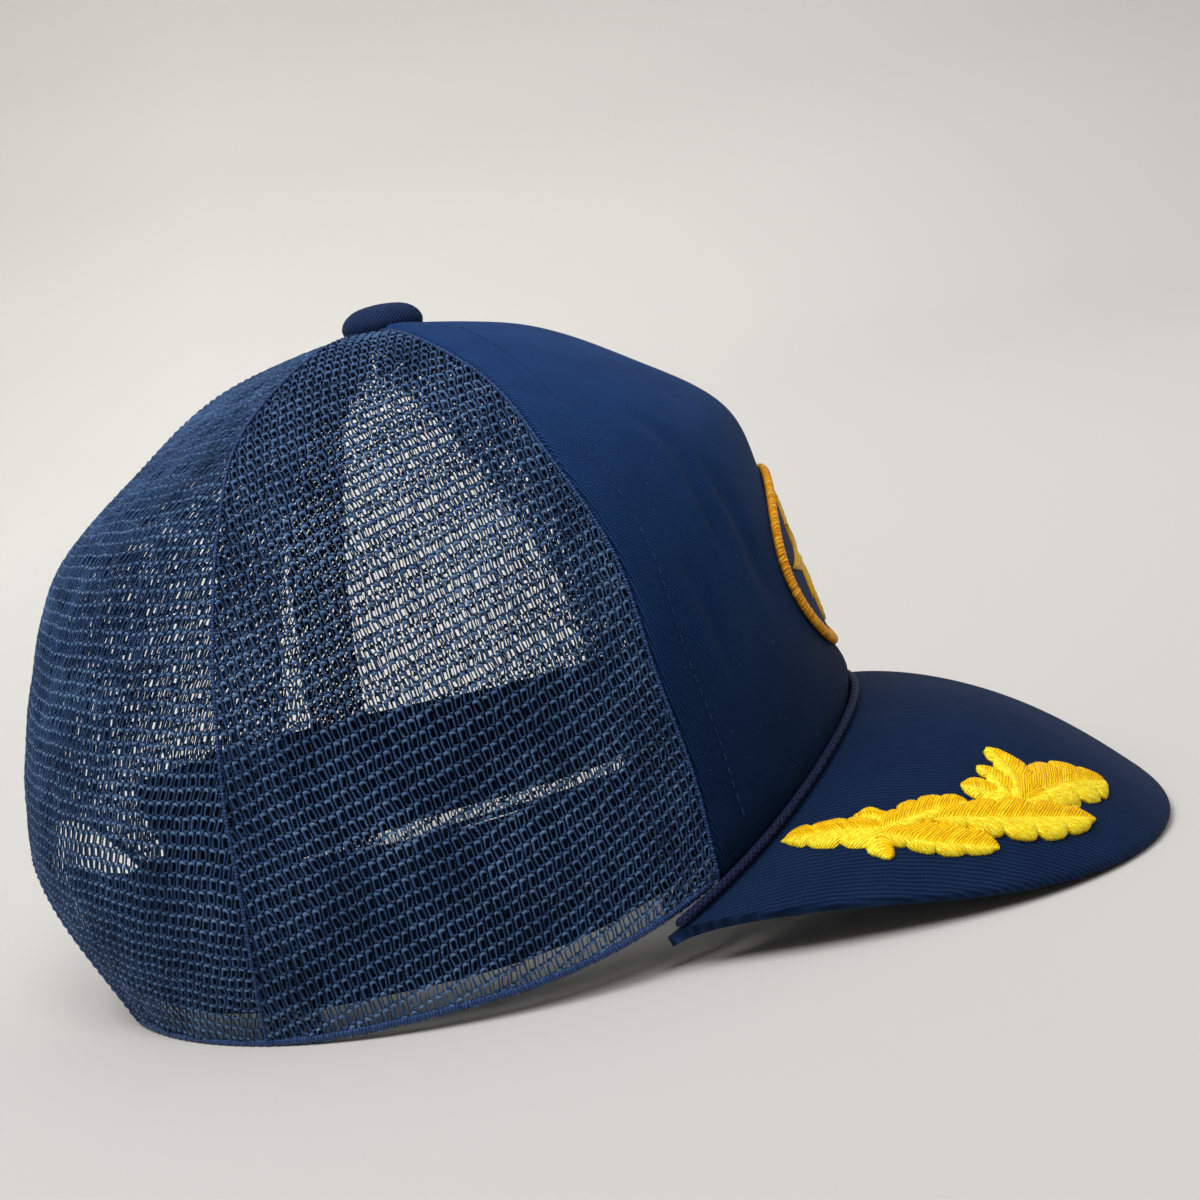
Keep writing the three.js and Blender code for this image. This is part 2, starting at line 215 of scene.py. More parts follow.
def peak_half(f):
    """Half the peak's width at a place along it."""
    g = np.clip((f - PEAK["widest"]) / (PEAK["tip"] - PEAK["widest"]), 0, 1)
    wide = PEAK["half_width"] * (1 - g ** PEAK["tip_power"]) ** (1 / PEAK["side_power"])
    h = np.clip((PEAK["widest"] - f) / (PEAK["widest"] - PEAK["end_forward"]), 0, 1.2)
    return wide - (PEAK["half_width"] - PEAK["end_half"]) * h * h


def root_plan(angle, off):
    """The crown's foot seen from above, off millimetres outside it."""
    e = 2 / LEVELS["square"][0]
    c, s = np.cos(np.radians(angle)), np.sin(np.radians(angle))
    front, back, half = (LEVELS[n][0] for n in ("front", "back", "half"))
    mid, long = (front + back) / 2, (front - back) / 2
    n = unit(np.stack([c / long, s / half], -1))
    return (
        mid + long * signed_power(c, e) + n[..., 0] * off,
        half * signed_power(s, e) + n[..., 1] * off,
    )


def on_peak(f, l, off):
    """A point off the peak's top by off millimetres."""
    def at(a, b):
        return place(a, b, peak_height(a, b))

    step = 0.5
    out = unit(np.cross(at(f, l + step) - at(f, l - step), at(f + step, l) - at(f - step, l)))
    out = np.where(out[..., 2:] < 0, -out, out)
    return raised(at(f, l), out, off)


def peak_plan(u, v):
    """The peak from its root (v 0) to its edge (v 1), u from side to side."""
    root = root_plan(PEAK["end_angle"] * u, FOAM_OUT + GAP)
    turn = (1 - np.abs(u)) * math.pi / 2
    f = PEAK["end_forward"] + (PEAK["tip"] - PEAK["end_forward"]) * np.sin(turn)
    edge = (f, np.sign(u) * peak_half(f))
    return tuple(a + (b - a) * v for a, b in zip(root, edge))


class Laid:
    """A flat cloth laid on the crown between two seams.

    w runs from one seam (-1) to the other (1) and v is the height up the
    cloth's middle in millimetres.
    """

    def __init__(self, near, far, low=0.0, high=APEX, rows=150, columns=121):
        self.k = np.linspace(low, high, rows)
        share = np.linspace(0, 1, columns)[None]
        k = self.k[:, None]
        angle = near(k) + (far(k) - near(k)) * share
        point = crown_point(angle, k)
        run = np.array([run_along(row) for row in point]) / MM
        self.half = run[:, -1] / 2
        self.w = np.linspace(-1, 1, columns)
        even = [np.interp((self.w + 1) * h, r, a) for h, r, a in zip(self.half, run, angle)]
        self.angle = np.array(even)
        self.point = crown_point(self.angle, k)
        self.normal = crown_normal(self.angle, k)
        self.v = run_along(self.point[:, columns // 2]) / MM

    def _pick(self, table, w, v):
        row = np.interp(v, self.v, np.arange(len(self.v)))
        col = np.interp(w, self.w, np.arange(len(self.w)))
        i = np.minimum(row.astype(int), len(self.v) - 2)
        j = np.minimum(col.astype(int), len(self.w) - 2)
        a, b = row - i, col - j
        if table.ndim == 3:
            a, b = a[..., None], b[..., None]
        return (
            table[i, j] * (1 - a) * (1 - b) + table[i + 1, j] * a * (1 - b)
            + table[i, j + 1] * (1 - a) * b + table[i + 1, j + 1] * a * b
        )

    def at(self, w, v, off):
        return raised(self._pick(self.point, w, v), unit(self._pick(self.normal, w, v)), off)

    def half_at(self, v):
        return np.interp(v, self.v, self.half)

    def height_of(self, k):
        return np.interp(k, self.k, self.v)

    def level_at(self, v):
        return np.interp(v, self.v, self.k)

    def angle_at(self, w, v):
        return self._pick(self.angle, w, v)

    def flat(self, angle, k):
        """The flat place, in millimetres, of a point given as angle and level."""
        row = np.interp(k, self.k, np.arange(len(self.k)))
        line = self.angle[int(row)]
        order = np.argsort(line)
        w = np.interp(angle, line[order], self.w[order])
        return w * np.interp(k, self.k, self.half), self.height_of(k)


def front_seam(k):
    return level("front_seam", k)


def side_seam(k):
    return level("side_seam", k)


def seam_width(k):
    """How far the turned-in net reaches from a seam, in degrees."""
    return np.minimum(degrees(13, k), 0.42 * (side_seam(k) - front_seam(k)))


front_cloth = Laid(lambda k: -front_seam(k), front_seam, columns=181)
side_cloth = Laid(front_seam, side_seam)
back_cloth = Laid(side_seam, lambda k: 180 + 0 * k)


# Steps of the hand work

# The metres that a piece keeps off the floor, and how close vertices become one.
OFF_FLOOR = 2e-5
CLOSE = 2e-6
JOINED = 5e-6


def rest_all():
    """Nothing is selected, and no piece is in edit mode."""
    if bpy.context.object and bpy.context.mode != "OBJECT":
        bpy.ops.object.mode_set(mode="OBJECT")
    bpy.ops.object.select_all(action="DESELECT")


def pick(piece):
    rest_all()
    piece.select_set(True)
    bpy.context.view_layer.objects.active = piece


def points_of(piece):
    co = np.empty(len(piece.data.vertices) * 3)
    piece.data.vertices.foreach_get("co", co)
    return co.reshape(-1, 3)


def set_points(piece, co):
    piece.data.vertices.foreach_set("co", np.ascontiguousarray(co, dtype=np.float32).ravel())
    piece.data.update()


def apply(piece, kind, **settings):
    """Adds a modifier and applies it."""
    pick(piece)
    modifier = piece.modifiers.new(kind.title(), kind)
    for name, value in settings.items():
        setattr(modifier, name, value)
    bpy.ops.object.modifier_apply(modifier=modifier.name)


def edited(piece, *steps):
    """Each step of mesh work, with its settings, is done on the whole piece."""
    pick(piece)
    bpy.ops.object.mode_set(mode="EDIT")
    bpy.ops.mesh.select_all(action="SELECT")
    for work, settings in steps:
        work(**settings)
    bpy.ops.object.mode_set(mode="OBJECT")


ONE_DOWN = {"TRANSFORM_OT_translate": {"value": (0, 0, -1)}}
FACE_OUT = (bpy.ops.mesh.normals_make_consistent, {"inside": False})


def flat_sheet(name, columns, rows, thick=False):
    """A flat grid from 0 to 1 both ways, one deep if it is thick.

    With it come each vertex's place across, its place up and whether it is
    on the lower side.
    """
    rest_all()
    bpy.ops.mesh.primitive_grid_add(x_subdivisions=columns, y_subdivisions=rows, size=1)
    sheet = bpy.context.object
    sheet.name = sheet.data.name = name
    steps = [(bpy.ops.transform.translate, {"value": (0.5, 0.5, 0)})]
    if thick:
        steps.append((bpy.ops.mesh.extrude_region_move, ONE_DOWN))
    edited(sheet, *steps)
    co = points_of(sheet)
    return sheet, co[:, 0], co[:, 1], co[:, 2] < -0.5


def write_map(piece, flat, name="cloth"):
    """Gives the piece a pattern map, in millimetres, one place for each vertex."""
    for old in list(piece.data.uv_layers):
        piece.data.uv_layers.remove(old)
    layer = piece.data.uv_layers.new(name=name)
    index = np.empty(len(piece.data.loops), int)
    piece.data.loops.foreach_get("vertex_index", index)
    layer.data.foreach_set("uv", np.asarray(flat, np.float32)[index].ravel())


def write_value(piece, name, values):
    """Gives every vertex a number that a finish reads."""
    attribute = piece.data.attributes.new(name, "FLOAT", "POINT")
    attribute.data.foreach_set("value", np.asarray(values, np.float32))


def outwards(piece):
    """A closed piece that is inside out is turned; its volume is taken about its own middle."""
    mesh = piece.data
    mesh.calc_loop_triangles()
    tri = np.empty(len(mesh.loop_triangles) * 3, int)
    mesh.loop_triangles.foreach_get("vertices", tri)
    points = points_of(piece)
    a, b, c = (points - points.mean(axis=0))[tri.reshape(-1, 3)].transpose(1, 0, 2)
    if np.einsum("ij,ij->", a, np.cross(b, c)) < 0:
        mesh.flip_normals()


def weld(piece, distance):
    edited(piece, (bpy.ops.mesh.remove_doubles, {"threshold": distance}))


def shaped(piece, u, v, points, welded=None):
    """Gives a sheet its pattern map and its places, and turns its faces outwards."""
    write_map(piece, np.stack([u, v], -1))
    set_points(piece, points)
    if welded:
        weld(piece, welded)
    outwards(piece)


def join(pieces, name):
    rest_all()
    for piece in pieces:
        piece.select_set(True)
    bpy.context.view_layer.objects.active = pieces[0]
    bpy.ops.object.join()
    pieces[0].name = pieces[0].data.name = name
    return pieces[0]


def mirrored(piece, name):
    """The same piece for the wearer's other side, with its own mesh."""
    other = piece.copy()
    other.data = piece.data.copy()
    other.name = other.data.name = name
    bpy.context.scene.collection.objects.link(other)
    set_points(other, points_of(other) * np.array([-1, 1, 1]))
    other.data.flip_normals()
    return other


def finished(piece, finish, slot, *nodes, padded=None, angle=None):
    """The last step of every piece: floor, shading, finish and body."""
    co = points_of(piece)
    co[:, 2] = np.maximum(co[:, 2], OFF_FLOOR)
    set_points(piece, co)
    pick(piece)
    if angle is None:
        bpy.ops.object.shade_smooth()
    else:
        bpy.ops.object.shade_smooth_by_angle(angle=math.radians(angle))
    piece.data.materials.clear()
    piece.data.materials.append(finish)
    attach(piece, "root")
    if nodes:
        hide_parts(*nodes)


def both_sides(piece, name, finish, slot, *nodes):
    """The left piece and its mirror image; name and nodes come without their side."""
    other = mirrored(piece, f"{name}_right")
    piece.name = piece.data.name = f"{name}_left"
    for side, half in (("left", piece), ("right", other)):
        finished(half, finish, slot, *(f"{node}_{side}" for node in nodes))


def tube(name, path, out, radius, sides=8, squash=1.0):
    """A cord along points, with the surface's outward side known.

    radius is one number for each point, or a function of the point's number
    and the turn about the cord.
    """
    n = len(path)
    cord, along, around, _ = flat_sheet(name, n - 1, sides)
    i = np.round(along * (n - 1)).astype(int)
    turn = around * FULL_TURN
    line = np.gradient(path, axis=0)
    side = unit(np.cross(unit(line), out))
    up = np.cross(side, unit(line))
    r = radius(i, turn) if callable(radius) else np.asarray(radius)[i]
    reach = up[i] * (np.cos(turn) * squash)[:, None] + side[i] * np.sin(turn)[:, None]
    shaped(cord, run_along(path)[i] / MM, around, raised(path[i], reach, r), welded=CLOSE)
    return cord


def taper(n, ends=3):
    """1 along a cord of n points, and 0 at its two ends."""
    near = np.clip(np.minimum(np.arange(n), n - 1 - np.arange(n)) / ends, 0, 1)
    return np.sqrt(near * (2 - near))


# Finishes


NAVY_SHINE = (0.25, 0.45, 1.0)
GOLD_SHINE = (1.0, 0.72, 0.12)


class Wire:
    """A value in the nodes of a finish, which adds and multiplies like a number."""

    def __init__(self, finish, socket):
        self.finish = finish
        self.socket = socket

    def __add__(self, other):
        return self.finish.math("ADD", self, other)

    def __sub__(self, other):
        return self.finish.math("SUBTRACT", self, other)

    def __rsub__(self, other):
        return self.finish.math("SUBTRACT", other, self)

    def __mul__(self, other):
        return self.finish.math("MULTIPLY", self, other)

    def __truediv__(self, other):
        return self.finish.math("DIVIDE", self, other)

    def __gt__(self, other):
        return self.finish.math("GREATER_THAN", self, other)

    def __abs__(self):
        return self.finish.math("ABSOLUTE", self)

    def clamped(self):
        """The same value, kept between 0 and 1."""
        self.socket.node.use_clamp = True
        return self


class Finish:
    """The nodes of one finish, wired from left to right."""

    def __init__(self, name, rough=0.8, sheen=0.0, shine=0.5, tint=(1.0, 1.0, 1.0)):
        self.material = bpy.data.materials.new(name)
        self.material.use_nodes = True
        self.nodes = self.material.node_tree.nodes
        self.links = self.material.node_tree.links
        self.shader = self.nodes["Principled BSDF"]
        constants = {
            "Roughness": rough, "Sheen Weight": sheen, "Sheen Roughness": 0.5, "Sheen Tint": (*tint, 1.0),
            "Specular IOR Level": shine, "Specular Tint": (*tint, 1.0),
        }
        for socket, value in constants.items():
            self.shader.inputs[socket].default_value = value

    def add(self, kind, **settings):
        node = self.nodes.new(kind)
        for name, value in settings.items():
            setattr(node, name, value)
        return node

    def feed(self, socket, value):
        if isinstance(value, Wire):
            self.links.new(value.socket, socket)
        else:
            socket.default_value = value

    def math(self, operation, a, b=0.0):
        node = self.add("ShaderNodeMath", operation=operation)
        self.feed(node.inputs[0], a)
        self.feed(node.inputs[1], b)
        return Wire(self, node.outputs[0])

    def split(self, vector):
        """The three numbers of a vector."""
        node = self.add("ShaderNodeSeparateXYZ")
        self.feed(node.inputs[0], vector)
        return [Wire(self, number) for number in node.outputs]

    def cloth(self, name="cloth"):
        """The piece's own pattern map: across and up in its units, and both at once."""
        flat = Wire(self, self.add("ShaderNodeUVMap", uv_map=name).outputs[0])
        u, v, _ = self.split(flat)
        return u, v, flat

    def place(self):
        return Wire(self, self.add("ShaderNodeTexCoord").outputs["Object"])

    def value(self, name):
        return Wire(self, self.add("ShaderNodeAttribute", attribute_name=name).outputs["Fac"])

    def noise(self, where, scale, detail=2.0, rough=0.5, stretch=None):
        if stretch:
            turn = self.add("ShaderNodeMapping")
            turn.inputs["Scale"].default_value = stretch
            self.feed(turn.inputs["Vector"], where)
            where = Wire(self, turn.outputs[0])
        node = self.add("ShaderNodeTexNoise")
        settings = {"Vector": where, "Scale": scale, "Detail": detail, "Roughness": rough}
        for socket, value in settings.items():
            self.feed(node.inputs[socket], value)
        return Wire(self, node.outputs["Fac"])

    def ramp(self, value, *stops):
        """A number into a colour, from (place, colour) stops."""
        node = self.add("ShaderNodeValToRGB")
        bar = node.color_ramp.elements
        while len(bar) < len(stops):
            bar.new(0.5)
        for element, (at, shade) in zip(bar, stops):
            element.position = at
            element.color = paint(shade)
        self.feed(node.inputs[0], value)
        return Wire(self, node.outputs[0])

    def mix(self, amount, a, b):
        """A blend of two colours, each a wire or a shade."""
        amount_socket, a_socket, b_socket, blend = 0, 6, 7, 2
        node = self.add("ShaderNodeMix", data_type="RGBA")
        self.feed(node.inputs[amount_socket], amount)
        for socket, color in ((a_socket, a), (b_socket, b)):
            self.feed(node.inputs[socket], color if isinstance(color, Wire) else paint(color))
        return Wire(self, node.outputs[blend])

    def wave(self, value, pitch):
        """0 to 1 and back once in every pitch."""
        return (self.math("SINE", value * (FULL_TURN / pitch)) + 1.0) * 0.5

    def bump(self, height, depth, before=None):
        """Relief of a depth in millimetres, over the relief that was there before."""
        node = self.add("ShaderNodeBump")
        node.inputs["Strength"].default_value = 1.0
        node.inputs["Distance"].default_value = depth * MM
        self.feed(node.inputs["Height"], height)
        if before:
            self.feed(node.inputs["Normal"], before)
        return Wire(self, node.outputs[0])

    def done(self, color, normal=None, rough=None):
        for socket, value in (("Base Color", color), ("Normal", normal), ("Roughness", rough)):
            if value is not None:
                self.feed(self.shader.inputs[socket], value)
        return self.material


def paint(shade):
    """A colour written as 0 to 255 into the numbers that a shader takes."""
    linear = [(s / 255 / 12.92) if s <= 10 else ((s / 255 + 0.055) / 1.055) ** 2.4 for s in shade]
    return (*linear, 1.0)


FRONT_TALL = 105.0
# The colour of the painted shade towards the front's foot.
FOOT_PAINTED_SHADE = (4, 8, 16)
LINT = (170, 184, 206)


def knit_finish(name, shades, rib, loop, depth, sheen, foot=0.0):
    """A fine knit: ribs up the cloth and a small loop along each rib.

    foot is how much painted shade darkens the cloth towards its lower edge, where it also holds lint.
    """
    f = Finish(name, rough=0.72, sheen=sheen, shine=0.06, tint=NAVY_SHINE)
    u, v, flat = f.cloth()
    wander = f.noise(flat, 0.12, 3) * (rib * 1.4)
    ribs = f.wave(u + wander, rib)
    legs = f.wave(v + abs(ribs - 0.5) * loop, loop)
    knit = ribs * (legs * 0.45 + 0.55)
    grain = f.noise(flat, 2.6, 3, 0.6)
    worn = f.noise(flat, 0.05, 3, 0.6)
    deep, mid, pale = shades
    color = f.ramp(knit * 0.44 + grain * 0.42 + worn * 0.26, (0.25, deep), (0.52, mid), (0.85, pale))
    # Painted shade: the cloth is darkened towards its lower edge.
    if foot:
        low = (1.0 - v / FRONT_TALL).clamped()
        color = f.mix(low * foot, color, FOOT_PAINTED_SHADE)
        lint = f.noise(flat, 1.4, 1) > 0.8
        color = f.mix(lint * 0.5, color, LINT)
    normal = f.bump(f.noise(flat, 0.09, 3), 0.5)
    normal = f.bump(knit, depth, normal)
    normal = f.bump(grain, depth * 0.4, normal)
    return f.done(color, normal, grain * 0.2 + 0.58)


def net_finish(name, dark, mid, light):
    """Knitted net: a pale loop over every hole with a painted highlight on its top, dark threads round its
    cell, and painted glints.
    """
    f = Finish(name, rough=0.5, sheen=0.03, shine=0.3, tint=(0.5, 0.68, 1.0))
    u, v, flat = f.cloth("yarn")
    row = f.math("FLOOR", v + 0.5)
    odd = f.math("FLOORED_MODULO", row, 2.0) * 0.5
    x = f.math("FRACT", u - odd + 0.5) - 0.5
    y = v - row
    side, tall = abs(x), abs(y)
    zigzag = 0.667 - side * 0.667
    across = abs(tall - zigzag) * 1.3
    beside = 0.5 - side + (tall > 0.36)
    fibre = f.noise(flat, 7.0, 3, 0.65, stretch=(1.6, 0.8, 1.0))
    seam = f.math("MINIMUM", across, beside) + (fibre - 0.5) * 0.06
    dark_line = (1.0 - seam / 0.085).clamped()
    # Painted highlight: the upper part of each loop is lighter.
    dome = ((y - 0.2) * 4.5).clamped()
    # Painted glints of the shiny yarn.
    painted_yarn_glint = f.noise(flat, 2.3, 3, 0.7) > 0.64
    patchy = f.noise(flat, 0.16, 2) - 0.5
    tone = dome * 0.26 + fibre * 0.42 + patchy * 0.55 + painted_yarn_glint * 0.26 + 0.14 - dark_line * 0.44
    color = f.ramp(tone, (0.1, dark), (0.42, mid), (0.9, light))
    plies = f.wave(u + v * 0.8, 0.16)
    normal = f.bump(plies * 0.4 + fibre - dark_line * 1.6, 0.2)
    return f.done(color, normal, 0.66 - fibre * 0.3)


def thread_finish(name, shades, pitch, depth=0.12, shine=0.6, tint=NAVY_SHINE, halves=False):
    """Satin stitches: glossy threads side by side across the shape.

    With halves, a leaf's inner half is darkened with painted shade and the outer half is flecked with
    painted glints, for the way the satin threads of each half catch the light.
    """
    f = Finish(name, rough=0.42, shine=shine, tint=tint)
    u, _, flat = f.cloth()
    wobble = f.noise(flat, 0.5, 2) * (pitch * 1.5)
    threads = f.wave(u + wobble, pitch)
    each = f.noise(flat, 1.0, 2, 0.7, stretch=(1.1 / pitch, 0.25, 1.0))
    tone = threads * 0.28 + each * 0.8
    if halves:
        # Painted shade on the inner half, painted glints on the outer half.
        shaded = f.value("shaded")
        painted_glint_fleck = f.noise(flat, 1.5, 4, 0.75) > 0.53
        tone = tone - shaded * 0.17 + (1.1 - shaded) * (painted_glint_fleck * 0.36)
    deep, mid, bright = shades
    color = f.ramp(tone, (0.18, deep), (0.5, mid), (0.85, bright))
    normal = f.bump(each, depth * 0.6, f.bump(threads, depth))
    return f.done(color, normal, each * 0.25 + 0.28)


def twill_finish(name, deep, pale, pitch):
    """Woven twill: fine slanting ridges."""
    f = Finish(name, rough=0.8, sheen=0.03, shine=0.15, tint=NAVY_SHINE)
    u, v, flat = f.cloth()
    cross = f.wave(u - v, pitch * 0.62)
    weave = f.wave(u + v, pitch) * (cross * 0.4 + 0.6)
    worn = f.noise(flat, 0.08, 4, 0.6)
    color = f.ramp(weave * 0.6 + worn * 0.5, (0.25, deep), (0.85, pale))
    return f.done(color, f.bump(weave, 0.12))


def rope_finish(name, deep, mid, pale):
    """Braided cord: two sets of strands that cross about it."""
    f = Finish(name, rough=0.55, sheen=0.05, shine=0.3, tint=(0.4, 0.45, 1.0))
    u, v, flat = f.cloth()
    along, turn = u * 0.7, v * 4.0
    strands = f.math("MAXIMUM", f.wave(along + turn, 1.0), f.wave(along - turn, 1.0))
    fibre = f.noise(flat, 4.0, 3, 0.6, stretch=(1.0, 6.0, 1.0))
    color = f.ramp(strands * 0.55 + fibre * 0.45, (0.35, deep), (0.65, mid), (0.95, pale))
    return f.done(color, f.bump(fibre, 0.08, f.bump(strands, 0.25)))


def plastic_finish(name, shade, pale):
    """Moulded plastic, a little scuffed."""
    f = Finish(name, rough=0.38, shine=0.5)
    where = f.place()
    scuff = f.noise(where, 900, 4, 0.65)
    wide = f.noise(where, 60, 2)
    color = f.mix(scuff * 0.5, shade, pale)
    return f.done(color, f.bump(scuff, 0.03), wide * 0.3 + 0.24)


# The front's knit gets painted shade towards its foot.
navy_knit = knit_finish(
    "front_knit", ((14, 36, 74), (29, 60, 110), (54, 92, 148)),
    rib=0.6, loop=0.55, depth=0.16, sheen=0.03, foot=0.88,
)
peak_knit = knit_finish(
    "peak_cloth", ((10, 22, 44), (18, 34, 62), (32, 50, 82)),
    rib=0.8, loop=0.7, depth=0.14, sheen=0.02,
)
button_knit = knit_finish(
    "button_knit", ((18, 28, 54), (28, 42, 74), (44, 60, 96)),
    rib=0.85, loop=0.7, depth=0.16, sheen=0.05,
)
net_yarn = net_finish("net_yarn", (16, 30, 62), (52, 82, 126), (132, 170, 214))
# The turned-in net is the panels' yarn painted darker: painted shade for where it lies under the outer net.
shaded_inner_yarn = net_finish("turned_in_net_painted_shade", (5, 9, 20), (16, 27, 52), (120, 146, 190))
edge_yarn = thread_finish("edge_yarn", ((12, 20, 42), (28, 44, 80), (64, 90, 138)), pitch=0.7)
stitch_yarn = thread_finish("stitch_yarn", ((10, 22, 48), (22, 42, 78), (38, 62, 104)), pitch=0.5)
# The gold's leaves get painted shade on one half and painted glints on the other.
gold_thread = thread_finish(
    "gold_thread", ((216, 142, 0), (255, 208, 0), (255, 250, 74)),
    pitch=SATIN, tint=GOLD_SHINE, halves=True,
)
star_thread = thread_finish(
    "star_thread", ((206, 130, 0), (244, 184, 6), (255, 218, 56)),
    pitch=STAR_SATIN, shine=0.4, tint=GOLD_SHINE,
)
border_thread = thread_finish(
    "border_thread", ((190, 92, 0), (255, 160, 6), (255, 218, 90)),
    pitch=0.93, depth=0.35, shine=0.4, tint=GOLD_SHINE,
)
patch_twill = twill_finish("patch_twill", (34, 38, 62), (60, 66, 94), pitch=0.7)
band_twill = twill_finish("band_twill", (15, 23, 38), (33, 46, 70), pitch=0.8)
rope_braid = rope_finish("rope_braid", (6, 9, 22), (15, 22, 44), (38, 50, 88))
strap_plastic = plastic_finish("strap_plastic", (12, 18, 36), (28, 38, 64))


# The net


EDGE = [(1, 1), (0.5, 1), (0, 1), (-0.5, 1), (-1, 1), (-1, -1), (-0.5, -1), (0, -1), (0.5, -1), (1, -1)]
# In millimetres: how close points of the flat net are that become one, and the
# radius of a cord's closed end.
MERGE = 0.001
THINNEST = 1e-4


def cell(lift):
    """The ring on the edge of a hole's cell, at its height over the cloth."""
    return {"across": PITCH / 2, "up": ROW / 2, "corner": None, "lift": lift}


def ring(across, up, corner, lift):
    """A ring nearer the hole: half sizes, how square it is, and its height."""
    return {"across": across, "up": up, "corner": corner, "lift": lift}


# The rings of one hole, from its cell's edge into the hole and out again behind.
RINGS = [
    cell(0.14), ring(0.94, 1.34, 4.0, 0.3), ring(0.74, 1.06, 2.8, 0.0), ring(0.74, 1.06, 2.8, -0.4),
    cell(-0.34),
]
# The back panels' net is a little closer, and plain behind its holes.
BACK_RINGS = [cell(0.14), ring(0.9, 1.3, 4.0, 0.3), ring(0.66, 0.98, 2.8, -0.1), cell(-0.34)]
# The net turned in at a seam lies in many folds and has only small holes.
TIGHT_RINGS = [cell(0.1), ring(0.42, 0.5, 3.0, 0.3), ring(0.16, 0.2, 3.0, -0.2), cell(-0.2)]


def ring_points(shape):
    """The ten points of a ring round a hole."""
    lean, drop, edge_dip, lower_lip = 0.05, 0.2, 0.4, 0.6
    points = []
    n = shape["corner"]
    for x, y in EDGE:
        lift = shape["lift"]
        if n is None:
            if lift > 0 and abs(x) == 0.5:
                lift *= edge_dip
            x, y = x * shape["across"], y * shape["up"]
        else:
            if lift > 0.1 and y < 0:
                lift *= lower_lip
            reach = (abs(x) ** n + abs(y) ** n) ** (-1 / n)
            x, y = x * reach * shape["across"], y * reach * shape["up"]
            x, y = x - lean * y, y - drop
        points.append((x, y, lift))
    return points


def net_repeat(rings):
    """Two holes of the net, worked outwards ring by ring from a circle."""
    shapes = np.array([ring_points(shape) for shape in rings])
    holes = []
    for row in (0, 1):
        rest_all()
        bpy.ops.mesh.primitive_circle_add(vertices=len(EDGE), radius=1)
        hole = bpy.context.object
        edited(hole, *[(bpy.ops.mesh.extrude_edges_move, ONE_DOWN)] * (len(rings) - 1))
        co = points_of(hole)
        turn = np.round(np.arctan2(co[:, 1], co[:, 0]) / FULL_TURN * len(EDGE)).astype(int) % len(EDGE)
        depth = np.round(-co[:, 2]).astype(int)
        set_points(hole, shapes[depth, turn] + np.array([PITCH / 2 * row, ROW * row, 0]))
        holes.append(hole)
    repeat = join(holes, "net_repeat")
    weld(repeat, MERGE)
    return repeat


def cut(piece, point, normal):
    """Cuts the piece at a plane, away on the normal's side, and closes it."""
    edited(piece, (bpy.ops.mesh.bisect, {
        "plane_co": point, "plane_no": normal, "use_fill": True, "clear_outer": True, "threshold": 1e-6,
    }))


def cut_arch(net, laid):
    """Cuts the back opening: its edge is drawn straight, cut and let back."""
    across = np.linspace(-1, 1, 201)
    w, v = np.meshgrid(across, np.linspace(0, 60, 241))
    inside = laid.level_at(v) < arch_level(laid.angle_at(w, v))
    edge = (inside * v).max(0)
    for sign in (-1, 1):
        co = points_of(net)
        co[:, 1] += sign * np.interp(co[:, 0], across, edge)
        set_points(net, co)
        if sign < 0:
            cut(net, (0, 0, 0), (0, -1, 0))


def net_piece(name, laid, base, rings, tilt, row=1.0, arch=False):
    """A piece of net cut to lie between two seams, base millimetres out.

    tilt is how far, in degrees, the rows of holes rise towards the far seam,
    and row how far the rows are stretched apart.
    """
    wander, narrowest = (0.04, 0.045, 0.03), 0.5
    high = laid.v[-1]
    wide, tall = laid.half.max() * 2, high / row
    c, s = math.cos(math.radians(tilt)), math.sin(math.radians(tilt))
    columns = int((wide * c + tall * abs(s)) / PITCH) + 4
    rows = int((tall * c + wide * abs(s)) / ROW / 2) + 3
    net = net_repeat(rings)
    net.name = net.data.name = name
    for count, step in ((columns, (PITCH, 0, 0)), (rows, (0, 2 * ROW, 0))):
        apply(
            net, "ARRAY", count=count, use_relative_offset=False, use_constant_offset=True,
            constant_offset_displace=step, use_merge_vertices=True, merge_threshold=MERGE,
        )
    co = points_of(net)
    write_map(net, co[:, :2] / np.array([PITCH, ROW]), "yarn")
    x = co[:, 0] - PITCH * (columns - 1) / 2
    y = co[:, 1] - ROW * (2 * rows - 1) / 2
    x, y = x * c - y * s, (x * s + y * c) * row + high / 2
    jitter = np.random.default_rng(11).normal(size=co.shape) * np.array(wander)
    slack = np.stack([
        0.17 * np.sin(y * 0.9 + x * 0.35) + 0.12 * np.sin(x * 0.21 - y * 1.7),
        0.22 * np.sin(x * 0.23 + y * 0.12) + 0.14 * np.sin(x * 0.83 + 1.3),
        0.12 * np.sin(x * 0.5 + y * 0.4),
    ], -1)
    co = np.stack([x, y, co[:, 2]], -1) + slack + jitter
    co[:, 0] /= np.maximum(laid.half_at(co[:, 1]), narrowest)
    set_points(net, co)
    cut(net, (0, 0, 0), (0, -1, 0))
    cut(net, (0, high, 0), (0, 1, 0))
    for side in (1, -1):
        cut(net, (side, 0, 0), (side, 0, 0))
    if arch:
        cut_arch(net, laid)
    co = points_of(net)
    set_points(net, laid.at(co[:, 0], co[:, 1], co[:, 2] + base))
    outwards(net)
    return net


